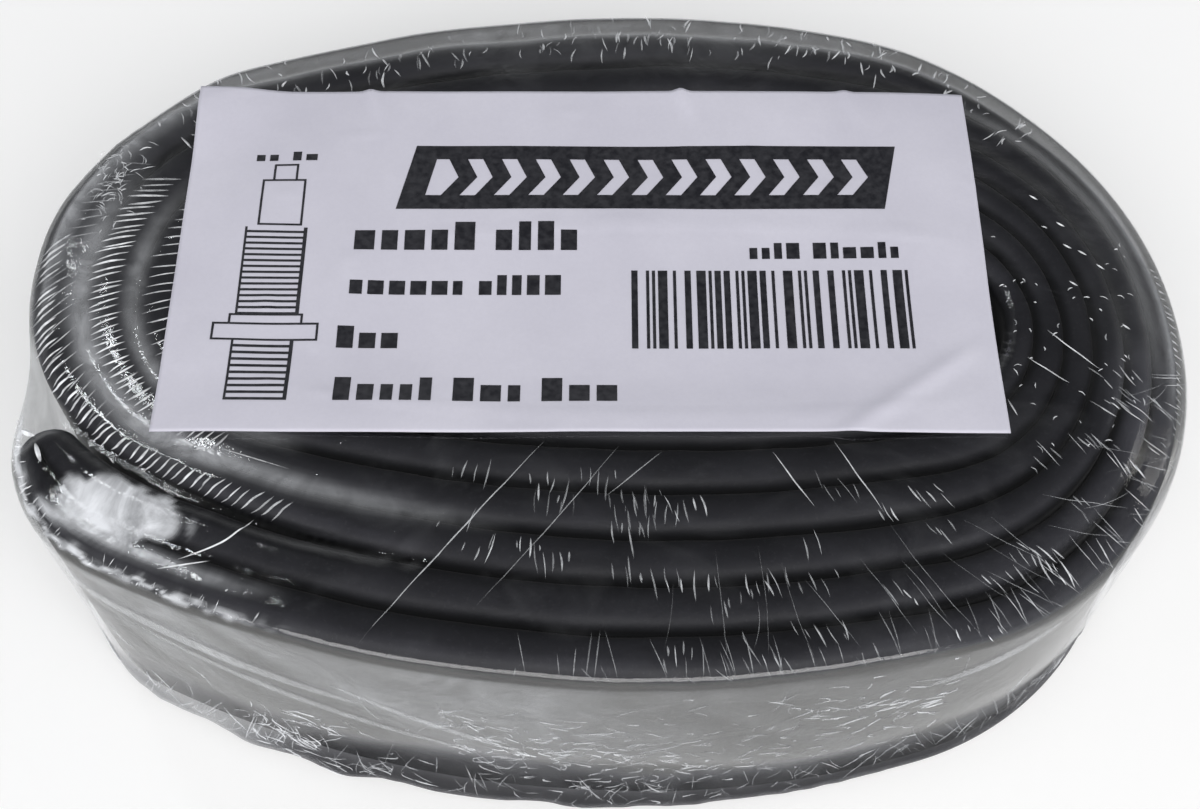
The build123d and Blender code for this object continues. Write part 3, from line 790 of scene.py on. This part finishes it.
for ring in range(BOTTOM_RINGS):
    add_ring(lerp(foot_edge, core, 1.0 - ring / BOTTOM_RINGS), FILM_BOTTOM, 0.03, 1.0)
for step in range(BEND_STEPS):
    angle = step / BEND_STEPS * math.pi / 2
    add_ring(foot_edge + outward * (FOOT_ROUND - 0.04) * math.sin(angle),
             FILM_BOTTOM + WALL_BASE * (1 - math.cos(angle)), 0.02, 0.12, front_smoke)
for level in range(WALL_LEVELS + 1):
    z = lerp(WALL_BASE, shoulder_base, level / WALL_LEVELS)
    streaks = 0.5 + 0.5 * noise(stations + z * 0.9, z, 3.0, 16.0, 23, AROUND)
    low = ramp(9.0, 2.0, z)
    bluish = ramp(-10.0, -38.0, x_at) * ramp(2.0, 20.0, z)
    haze_and_highlight = 0.025 + 0.035 * streaks * (1.0 - low) + 0.20 * bluish * streaks - 0.02 * low
    pale = np.exp(-(((stations + AROUND / 2) % AROUND - AROUND / 2 + 15.0) / 13.0) ** 2)
    haze_and_highlight = haze_and_highlight + 0.13 * pale * ramp(8.0, 18.0, z) * (0.7 + 0.3 * streaks)
    band_top = 9.0 + 2.5 * wander(stations, 14.0, 24, 0.0, AROUND)
    band_top = band_top - 5.0 * ramp(-10.0, -30.0, x_at)
    gloss = lerp(0.12, 0.88, ramp(-1.8, 1.2, z - band_top)) * (1.0 - 0.7 * open_web)
    # painted shade: the tint darkens in a low band at the foot of the front wall
    add_ring(outline - outward * wall_relief(stations, z)[:, None], z, haze_and_highlight, gloss,
             front_smoke * ramp(9.0, 2.5, z + 2.0 * streaks - 1.0))
for step in range(1, BEND_STEPS + 1):
    angle = step / BEND_STEPS * math.pi / 2
    rim = 0.02 + 0.08 * left_milk + 0.08 * back_side
    jagged = wander(stations, 0.9, 34, 0.6 * step, AROUND)
    # painted glints: milky white in a jagged line on the shoulder over the tip's front
    painted_glints = tip_front * np.exp(-((step - 5.0 - 1.4 * jagged) / 0.8) ** 2)
    add_ring(inner_edge + outward * (SHOULDER - 0.08) * math.cos(angle),
             shoulder_base + SHOULDER * math.sin(angle),
             rim * (1.0 - 0.6 * step / BEND_STEPS) + 0.75 * painted_glints, 1.2 - 0.9 * open_web)
for ring in range(1, TOP_RINGS + 1):
    share = ring / TOP_RINGS
    flat = lerp(inner_edge, core, share)
    x, y = flat[:, 0], flat[:, 1]
    held = ramp(12.0, 26.0, sample(roll_top, x, y))
    far_right = np.exp(-((x - 45.5) / 3.4) ** 2 - ((y + 10.5) / 7.5) ** 2)
    add_ring(flat, film_z(x, y), top_haze_and_highlight(x, y, share), lerp(0.3, 1.3, held) * (1.0 - 0.88 * far_right))

film_faces = grid_faces(len(film_rows["points"]), FILM_COUNT, True)
film_values = {key: np.concatenate(rows) for key, rows in film_rows.items()}
film = make_object("shrink_film_skin", film_values.pop("points"), film_faces, FILM, film_values)

# --- label and its print
LABEL_LENGTH, LABEL_DEPTH = 70.0, 36.0
LABEL_CENTRE = np.array((-1.6, 5.6))
PAPER_THICKNESS = 0.1
LABEL_ACROSS, LABEL_DOWN = 210, 108
INK_LIFT, INK_CELL = 0.03, 0.6
label_base = blur(spread(film_top, 1.0), 2.0)
label_base = np.maximum(label_base, film_top) + 0.05


def label_z(a, b):
    """Height of the paper's top at label coordinates, in mm from its middle."""
    lying = sample(label_base, a + LABEL_CENTRE[0], b + LABEL_CENTRE[1])
    corner = np.hypot(a + LABEL_LENGTH / 2, b - LABEL_DEPTH / 2)
    curl = 0.9 * ramp(9.0, 0.0, corner)
    front = 0.30 * ramp(-12.0, -18.0, b) * (1.0 + 0.3 * np.sin(a / 7.0))
    along = ((a - 27.0) * 0.8 + (b + 14.0) * 0.6)
    off = ((b + 14.0) * 0.8 - (a - 27.0) * 0.6)
    crease = 0.32 * np.exp(-(off / 0.9) ** 2) * ramp(9.5, 4.0, np.abs(along))
    nicks = 0.0
    for place, size in ((-19.5, 0.35), (9.0, 0.45), (24.0, 0.25)):
        nick = np.exp(-((a - place - 0.3 * (18.0 - b)) / 0.6) ** 2)
        nicks = nicks + size * nick * ramp(13.5, 18.0, b)
    waves = 0.06 * noise(a, b, 6.0, 5.0, 40)
    return lying + PAPER_THICKNESS + curl + front + crease + nicks + waves


def paper_point(a, b):
    return np.column_stack((a + LABEL_CENTRE[0], b + LABEL_CENTRE[1], label_z(a, b)))


across, down = np.meshgrid(np.linspace(-0.5, 0.5, LABEL_ACROSS), np.linspace(-0.5, 0.5, LABEL_DOWN))
upper = paper_point((across * LABEL_LENGTH).ravel(), (down * LABEL_DEPTH).ravel())
lower = upper - np.array((0.0, 0.0, PAPER_THICKNESS))
count = LABEL_ACROSS * LABEL_DOWN
sheet_faces = grid_faces(LABEL_DOWN, LABEL_ACROSS)
paper_faces = sheet_faces + [tuple(k + count for k in reversed(face)) for face in sheet_faces]
numbers = np.arange(count).reshape(LABEL_DOWN, LABEL_ACROSS)
edge = np.concatenate((numbers[0], numbers[1:, -1], numbers[-1, -2::-1], numbers[-2:0:-1, 0])).tolist()
for place, k in enumerate(edge):
    after = edge[(place + 1) % len(edge)]
    paper_faces.append((after, k, k + count, after + count))
label = make_object("label_sheet", np.concatenate((upper, lower)), paper_faces, PAPER)

ink_points, ink_faces = [], []


def ink_quad(corners):
    """A patch of ink between four corners in label coordinates, following the paper."""
    one, two, three, four = np.array(corners, float)
    longest = max(np.linalg.norm(two - one), np.linalg.norm(four - three))
    tallest = max(np.linalg.norm(four - one), np.linalg.norm(three - two))
    columns, lines = int(longest / INK_CELL) + 2, int(tallest / INK_CELL) + 2
    u, v = np.meshgrid(np.linspace(0, 1, columns), np.linspace(0, 1, lines))
    u, v = u.ravel()[:, None], v.ravel()[:, None]
    flat = lerp(lerp(one, two, u), lerp(four, three, u), v)
    first = sum(len(chunk) for chunk in ink_points)
    points = paper_point(flat[:, 0], flat[:, 1])
    points[:, 2] += INK_LIFT
    ink_points.append(points)
    ink_faces.extend(grid_faces(lines, columns, first=first))


def ink_bar(a, b, width, height, slant=0.0):
    """A bar from its lower left corner; slant moves its top to the right."""
    ink_quad(((a, b), (a + width, b), (a + width + slant, b + height), (a + slant, b + height)))


def ink_words(a, b, tall, width, blocks):
    """Stand-in for a line of print: plain blocks in a text's rhythm, with no letters."""
    picks = np.random.default_rng(sum(blocks) * 11 + int(tall * 10))
    words = [picks.choice((0.6, 0.8, 1.0), count) for count in blocks]
    gap, space = 0.34, 0.7
    scale = width / (sum(word.sum() + gap * len(word) for word in words) + space * (len(blocks) - 1))
    for word in words:
        for size in word:
            ink_bar(a, b, size * scale, tall * picks.choice((0.7, 0.7, 1.0)))
            a += (size + gap) * scale
        a += space * scale


def banner():
    """Dark slanted banner with a plain tyre-tread motif left clear in it."""
    left, right, low, high, slant = -16.4, 26.7, 4.6, 11.6, 1.5
    margin, blocks, nose, top_shift = 1.5, 12, 1.5, 0.6
    start, end_block = 2.2, 4.4
    edge_lean = slant * margin / (high - low)
    core_lean = slant - 2 * edge_lean
    ink_bar(left, low, right - left, margin, edge_lean)
    ink_bar(left + slant - edge_lean, high - margin, right - left, margin, edge_lean)
    inner_low, inner_high = low + margin, high - margin
    middle_b = (inner_low + inner_high) / 2
    ink_bar(left + edge_lean, inner_low, start, inner_high - inner_low, core_lean)
    pitch = (right - left - start - end_block) / blocks
    body = pitch * 0.55

    def arrow(a, low_end, middle_end, high_end):
        """A block with an arrow's tail at its left, in its lower and upper half."""
        ink_quad(((a, inner_low), (low_end, inner_low), (middle_end, middle_b), (a + nose, middle_b)))
        ink_quad(((a + nose, middle_b), (middle_end, middle_b), (high_end, inner_high),
                  (a + top_shift, inner_high)))

    a = left + edge_lean + start
    for _ in range(blocks):
        a += pitch - body
        arrow(a, a + body, a + body + nose, a + body + top_shift)
        a += body
    end_low, end_high = right + edge_lean, right + edge_lean + core_lean
    arrow(a + pitch - body, end_low, (end_low + end_high) / 2, end_high)


def stripes():
    """Plain vertical bars in a code-like rhythm that encodes nothing."""
    a, low, high, right = 4.3, -9.6, -1.7, 28.6
    rhythm = (2, 1, 1, 3, 1, 2, 3, 1, 2, 2, 1, 1, 3, 2, 1, 3, 1, 1, 2)
    module, space = 0.27, 0.9
    index = 0
    while a < right - module:
        width = rhythm[index % len(rhythm)] * module
        ink_bar(a, low, min(width, right - a), high - low)
        a += width + rhythm[(index * 7 + 3) % len(rhythm)] * module * space
        index += 1


def valve_picture():
    """Plain line drawing of a threaded valve with its nut."""
    line = 0.2
    for a, width, low, high, threads in ((-29.2, 4.9, -6.4, 2.6, 15), (-29.2, 4.7, -15.0, -9.0, 9)):
        step = (high - low) / threads
        for thread in range(threads):
            ink_bar(a, low + thread * step, width, step * 0.4)
        ink_bar(a - line, low, line, high - low)
        ink_bar(a + width, low, line * 1.6, high - low)
    for a, b, width, tall in ((-31.2, -9.0, 8.8, 1.6), (-29.9, -7.4, 6.1, 0.9),
                              (-28.4, 2.8, 3.7, 4.8), (-27.5, 7.6, 2.0, 1.7)):
        ink_bar(a, b, width, line)
        ink_bar(a, b + tall, width, line)
        ink_bar(a, b, line, tall)
        ink_bar(a + width, b, line, tall + line)


banner()
for a, b, tall, width, blocks in (
    (-19.8, 0.3, 2.9, 20.0, (5, 4)), (-19.9, -4.2, 2.0, 18.6, (6, 5)), (-20.6, -9.6, 2.2, 5.6, (3,)),
    (-20.4, -15.0, 2.4, 24.0, (5, 3, 3)), (14.6, -0.5, 1.6, 13.3, (4, 6)), (-29.2, 9.9, 1.0, 5.9, (2, 2)),
):
    ink_words(a, b, tall, width, blocks)
stripes()
valve_picture()
ink = make_object("label_print", np.concatenate(ink_points), ink_faces, INK)

# --- creases: sharp raised folds of the film
crease_points, crease_faces, crease_bright = [], [], []
rim_line = outline - outward * 0.35


def add_crease(path, normals, width, bright):
    """A thin ridge along a path on the film, pointed at both ends."""
    path, normals = np.asarray(path, float), np.asarray(normals, float)
    side = np.cross(np.gradient(path, axis=0), normals)
    side /= np.linalg.norm(side, axis=1)[:, None] + 1e-9
    taper = (np.sin(np.linspace(0.0, math.pi, len(path))) ** 0.6 + 0.06)[:, None]
    first = sum(len(chunk) for chunk in crease_points)
    left = path - side * width * taper / 2 - normals * 0.02
    crest = path + normals * (0.45 * width * taper + 0.01)
    right = path + side * width * taper / 2 - normals * 0.02
    crease_points.append(np.stack((left, crest, right), axis=1).reshape(-1, 3))
    crease_bright.append(np.repeat(bright * (0.35 + 0.65 * taper[:, 0]), 3))
    crease_faces.extend(grid_faces(len(path), 3, first=first))


def on_top(points):
    """Whether every point in mm lies on the flat of the wrap, inside its rim."""
    gaps = points[:, None, :] - outline[None, :, :]
    nearest = np.argmin(np.sum(gaps ** 2, axis=-1), axis=1)
    out = np.sum(gaps[np.arange(len(points)), nearest] * outward[nearest], axis=-1)
    return bool(np.all(out < -0.15))


def top_crease(points, width, bright, steps=8):
    """A crease over the roll's top through points in mm, smoothed between them."""
    points = np.asarray(points, float)
    flat = points_at(np.linspace(0.0, len(points) - 1.0, steps), np.arange(len(points)), points)
    if len(points) > 2:
        for _ in range(2):
            flat[1:-1] = 0.25 * flat[:-2] + 0.5 * flat[1:-1] + 0.25 * flat[2:]
    if on_top(flat):
        path = np.column_stack((flat, film_z(flat[:, 0], flat[:, 1]) + 0.02))
        add_crease(path, np.tile((0.0, 0.0, 1.0), (steps, 1)), width, bright)


def stroke(here, turn, reach, sag):
    """Two ends and a middle of a short stroke about a place; sag bends it to one side."""
    heading = np.array((math.sin(turn), -math.cos(turn)))
    side = np.array((-heading[1], heading[0])) * sag
    return here - heading * reach, here + side * reach, here + heading * reach


def under_label(point, margin=0.5):
    a, b = point - LABEL_CENTRE
    return abs(a) < LABEL_LENGTH / 2 - margin and abs(b) < LABEL_DEPTH / 2 - margin


def spiral_crease(quarters, lag_low, lag_high, skew, width, bright, bend=0.0):
    """A crease across a ridge, from one lag to another, leaning forward by skew quarters."""
    points = []
    for share in np.linspace(0.0, 1.0, 6):
        at = quarters + skew * (share - 0.5) + bend * math.sin(share * math.pi)
        points.append(spiral_point(max(at, 0.0), lerp(lag_low, lag_high, share)))
    if not (under_label(points[0]) and under_label(points[-1])):
        top_crease(points, width, bright)


def hatch(start, stop, lags, spacing, skews, width, bright, seed):
    """A row of short wrinkles across one ridge, where shrunken film gathers."""
    picks = np.random.default_rng(seed)
    at = start
    while at < stop:
        share = (at - start) / (stop - start)
        ease = math.sin(math.pi * (0.08 + 0.84 * share)) ** 0.5
        low = lags[0] + picks.uniform(0.0, 0.12)
        high = lags[1] - picks.uniform(0.0, 0.14) * (lags[1] - lags[0])
        skew = lerp(skews[0], skews[1], share) + picks.uniform(-0.0025, 0.0025)
        spiral_crease(at, low, high, skew, width * picks.uniform(0.7, 1.25),
                      bright * ease * picks.uniform(0.6, 1.0), picks.uniform(-0.002, 0.002))
        at += spacing * picks.uniform(0.8, 1.2)


hatch(2.95, 3.54, (-0.04, 0.58), 0.0125, (-0.040, 0.002), 0.20, 1.0, 51)
hatch(2.99, 3.25, (0.2, 0.9), 0.019, (-0.045, -0.03), 0.13, 0.55, 52)
hatch(2.80, 3.36, (1.10, 1.80), 0.0115, (-0.022, -0.018), 0.18, 0.95, 53)
hatch(2.79, 2.96, (0.4, 1.0), 0.014, (-0.02, -0.02), 0.12, 0.25, 56)
hatch(6.74, 7.2, (0.15, 0.9), 0.019, (-0.02, -0.02), 0.15, 0.7, 54)
hatch(0.84, 1.12, (0.0, 0.3), 0.012, (0.008, 0.008), 0.14, 0.6, 55)

# short glints on the front ridges, in small bunches: upright in the middle, leaning outwards to both sides
for _ in range(64):
    left_part = RNG.random() < 0.3
    at = draw(3.62, 4.0) if left_part else draw(0.0, 0.9) + 4.0 * (RNG.random() < 0.35)
    bunch = spiral_point(at, draw(0.05, 2.1))
    lean = math.radians(38.0) * min(max(bunch[0] / 30.0, -0.6), 1.1) + draw(-0.2, 0.2)
    strength, run = draw(0.25, 1.0), draw(0.45, 1.1)
    for count in range(RNG.integers(1, 6)):
        here = bunch + np.array((run * count, draw(-0.7, 0.7)))
        turn, reach = lean + draw(-0.14, 0.14), draw(0.25, 0.5) * draw(1.0, 3.2)
        points = stroke(here, turn, reach, draw(-0.12, 0.12))
        if not (under_label(points[0]) or under_label(points[2])):
            top_crease(points, draw(0.07, 0.15), strength * draw(0.4, 1.0), 9)

# tiny curls where the film is tight at the right
for _ in range(60):
    here = np.array((draw(34.0, 47.0), draw(-16.0, 9.0)))
    if np.hypot(here[0] / 48.5, here[1] / 32.0) > 0.97:
        continue
    points = stroke(here, draw(0.0, math.pi), draw(0.12, 0.4), draw(0.2, 0.6))
    top_crease(points, draw(0.07, 0.13), draw(0.3, 0.9), 7)

# long faint creases that run over several ridges
for _ in range(22):
    at = draw(0.0, 0.9)
    spiral_crease(at, draw(0.0, 0.8), draw(1.4, 3.0), -0.1 * at + draw(-0.03, 0.03), 0.06, draw(0.1, 0.35),
                  draw(-0.006, 0.006))

# creases that stand out, and painted highlights on the tip: their points, width and brightness
for points, width, bright in (
    (((37.9, -2.1), (41.7, -6.0)), 0.12, 0.75),
    (((35.9, -4.8), (39.0, -7.3)), 0.11, 0.7),
    (((33.7, -8.9), (34.3, -10.5)), 0.14, 0.8),
    (((-4.6, -13.1), (-11.0, -21.0), (-18.4, -30.4)), 0.12, 0.5),
    (((1.5, -13.5), (-3.0, -19.5), (-9.5, -27.5)), 0.09, 0.3),
    (((5.0, -14.0), (0.5, -18.0)), 0.10, 0.35),
    (((-31.0, -13.6), (-25.0, -15.6)), 0.10, 0.4),
    (((-33.0, -23.5), (-29.5, -22.0), (-27.5, -20.0)), 0.16, 0.9),
    (((-34.5, -24.3), (-30.5, -23.6)), 0.14, 0.8),
    (((19.0, -13.0), (22.5, -19.5)), 0.11, 0.7),
    (((14.0, -14.0), (17.0, -19.0)), 0.12, 0.7),
    (((-35.8, 17.0), (-34.4, 20.6)), 0.2, 0.9),
    # painted highlights on the tip
    (((-47.5, -11.6), (-46.9, -11.9), (-46.2, -12.2)), 0.5, 1.0),
    (((-46.0, -13.0), (-45.6, -13.9), (-45.2, -14.8)), 0.38, 1.0),
    (((-36.6, 15.0), (-35.6, 17.6)), 0.14, 0.7),
):
    top_crease(points, width, bright, 14)
# painted glint dots on the right, as short strokes
for x, y in ((38.5, 11.8), (40.5, 8.9), (40.8, 6.6), (42.0, 5.9), (43.4, 4.5), (40.8, 2.7), (44.7, -1.6)):
    top_crease(((x - 0.35, y + 0.25), (x + 0.35, y - 0.25)), 0.17, 0.8, 5)


def rim_place(place):
    """A place on the rim, and the ways outwards and along it."""
    out = outward[place]
    return rim_line[place], out, np.array((out[1], -out[0]))


# a fringe of fine strokes along the rim of the tip, where the film turns down: painted glints
for place in range(FILM_COUNT):
    rim, out, run = rim_place(place)
    fringe = ramp(-20.0, -34.0, rim[0]) * ramp(-9.0, -12.5, rim[1])
    if RNG.random() > 0.75 * fringe:
        continue
    start = rim - out * draw(0.0, 0.4)
    stop = start - out * draw(0.15, 1.1) ** 1.5 + run * draw(-0.35, 0.35)
    top_crease((start, stop), draw(0.06, 0.16), draw(0.35, 1.0), 5)

# faint strokes over the front edge
for _ in range(75):
    rim, out, run = rim_place(int(draw(-12.0, 62.0) / AROUND * FILM_COUNT))
    start = rim - out * draw(0.5, 4.2) + run * draw(-0.4, 1.6)
    top_crease((start, rim), draw(0.06, 0.11), draw(0.12, 0.5), 8)

# crinkles across the ridge at the back, and a patch of curls at its left end
for _ in range(190):
    place = RNG.integers(0, FILM_COUNT)
    while outline[place][1] < 21.0:
        place = RNG.integers(0, FILM_COUNT)
    rim, out, run = rim_place(place)
    start = rim - out * draw(0.1, 4.8)
    stop = start - out * draw(0.5, 2.0) + run * draw(-0.7, 0.7)
    halfway = (start + stop) / 2 + run * draw(-0.25, 0.25)
    top_crease((start, halfway, stop), draw(0.08, 0.22), draw(0.12, 0.75), 9)
for _ in range(90):
    here = np.array((RNG.normal(-43.2, 1.3), RNG.normal(13.4, 2.2)))
    points = stroke(here, draw(0.0, math.pi), draw(0.2, 0.7), draw(0.1, 0.5))
    top_crease(points, draw(0.07, 0.13), draw(0.2, 0.7), 7)


def wall_crease(s, z, ds, dz, width, bright, bend=0.0, steps=7):
    """A crease on the film's side, from arc length s and height z, over ds and dz."""
    share = np.linspace(0.0, 1.0, steps)
    along = (s + ds * share + bend * np.sin(share * math.pi)) % AROUND
    up = np.clip(z + dz * share, 0.8, 27.0)
    columns = (outline[:, 0], outline[:, 1], outward[:, 0], outward[:, 1])
    x, y, nx, ny = (np.interp(along, stations, column, period=AROUND) for column in columns)
    relief = wall_relief(along, up)
    normals = np.column_stack((nx, ny, np.zeros(steps)))
    path = np.column_stack((x - nx * relief, y - ny * relief, up)) + normals * 0.02
    add_crease(path, normals, width, bright)


# wrinkles along the foot of the wall, where the film is gathered, and fainter ones above:
# how many, then the limits of each of wall_crease's values
for count, *limits in (
    (420, (0.0, AROUND), (0.5, 5.0), (-2.2, 2.2), (1.0, 5.0), (0.05, 0.12), (0.05, 0.5), (-0.3, 0.3)),
    (90, (0.0, AROUND), (4.0, 22.0), (-3.0, 3.0), (1.0, 7.0), (0.05, 0.11), (0.06, 0.3), (-0.5, 0.5)),
):
    for _ in range(count):
        wall_crease(*[draw(*pair) for pair in limits])
# tangles: (arc length, height, their spreads, strokes, brightness)
for s_mid, z_mid, s_spread, z_spread, strokes, bright in (
    (-32.5, 5.5, 2.4, 2.0, 46, 0.9), (-29.0, 9.5, 2.0, 1.0, 22, 0.7), (-24.0, 4.0, 3.0, 1.5, 30, 0.6),
    (-16.0, 18.0, 1.8, 2.0, 20, 0.35), (-12.5, 10.0, 2.2, 3.0, 44, 0.6), (-4.0, 6.0, 3.0, 2.0, 34, 0.55),
    (5.0, 9.0, 2.5, 2.0, 26, 0.5), (15.0, 21.0, 3.0, 2.0, 30, 0.4), (20.5, 17.0, 2.5, 4.0, 50, 0.6),
    (2.0, 16.0, 6.0, 4.0, 40, 0.25), (-9.0, 14.5, 3.0, 3.2, 58, 0.42), (-3.0, 11.0, 3.2, 3.0, 52, 0.42),
    (9.0, 12.5, 4.5, 3.2, 44, 0.3),
):
    for _ in range(strokes):
        wall_crease(RNG.normal(s_mid, s_spread), max(RNG.normal(z_mid, z_spread), 0.8), draw(-2.2, 2.2),
                    draw(-1.8, 1.8), draw(0.05, 0.13), bright * draw(0.3, 1.0), draw(-0.8, 0.8))
# pleats: rows of near-parallel folds, (arc lengths, heights, spacing, slope, brightness)
for low_s, high_s, low_z, high_z, spacing, slope, bright in (
    (-46.5, -38.0, 1.5, 7.0, 0.55, 2.4, 0.5), (24.0, 41.0, 3.0, 14.0, 0.75, -3.2, 0.35),
    (-37.0, -33.0, 2.0, 9.0, 0.5, 2.0, 0.75),
):
    for at in np.arange(low_s, high_s, spacing):
        wall_crease(at + draw(-0.2, 0.2), low_z + draw(-1.0, 1.5), slope + draw(-0.4, 0.4),
                    (high_z - low_z) * draw(0.5, 1.0), draw(0.07, 0.15), bright * draw(0.4, 1.0),
                    draw(-0.3, 0.3), 9)
# long soft folds
for s, z, ds, dz, width, bright, steps in (
    (-50.0, 24.0, 26.0, -6.0, 0.8, 0.22, 24), (-44.0, 20.0, 30.0, -9.0, 0.5, 0.18, 24),
    (-26.0, 21.0, 16.0, -9.0, 0.4, 0.2, 20), (22.0, 22.0, 12.0, 3.0, 0.6, 0.2, 20),
):
    wall_crease(s, z, ds, dz, width, bright, 0.0, steps)
creases = make_object("shrink_film_creases", np.concatenate(crease_points), crease_faces, CREASE,
                      {"bright": np.concatenate(crease_bright)}, smooth=False)

# --- bodies, stage
for piece, slot in ((tube, "butyl"), (film, "film"), (creases, "film"), (label, "paper"), (ink, "paper")):
    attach(piece, "root")
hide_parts("inner_tube")
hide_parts(*[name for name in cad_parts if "film" in name])
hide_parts("label")

FLOOR_HALF = 2400
corners = FLOOR_HALF * np.array(((-1, -1, 0), (1, -1, 0), (1, 1, 0), (-1, 1, 0)))
floor = make_object("floor", corners, [(0, 1, 2, 3)], material("studio_floor", pale_floor))

world = bpy.data.worlds.new("studio")
bpy.context.scene.world = world
world.use_nodes = True
sky = Nodes(world.node_tree)
background = world.node_tree.nodes["Background"]
direction = sky.add("ShaderNodeTexCoord").outputs["Generated"]
rise = sky.add("ShaderNodeSeparateXYZ", {"Vector": direction}).outputs["Z"]
sky.plug(background.inputs["Strength"], sky.remap(rise, 0.25, 0.75, 0.95, 0.10))
sky.plug(background.inputs["Color"], (0.95, 0.97, 1.0))


def soft_light(name, place, aim, size, power, colour):
    data = bpy.data.lights.new(name, "AREA")
    data.shape = "RECTANGLE"
    data.size, data.size_y = size
    data.energy = power
    data.color = colour
    light = bpy.data.objects.new(name, data)
    light.location = place
    light.rotation_euler = (Vector(aim) - Vector(place)).to_track_quat("-Z", "Y").to_euler()
    bpy.context.scene.collection.objects.link(light)


soft_light("overhead_front", (0.05, -0.5, 0.62), (0, 0, 0), (1.0, 0.4), 5.8, (1.0, 0.99, 0.98))
soft_light("window_left", (-0.211, 0.255, 0.54), (-0.03, 0, 0), (0.035, 0.06), 0.11, (0.93, 0.97, 1.0))
soft_light("side_right", (0.5, 0.1, 0.3), (0, 0, 0), (0.12, 0.2), 0.2, (1.0, 0.98, 0.94))
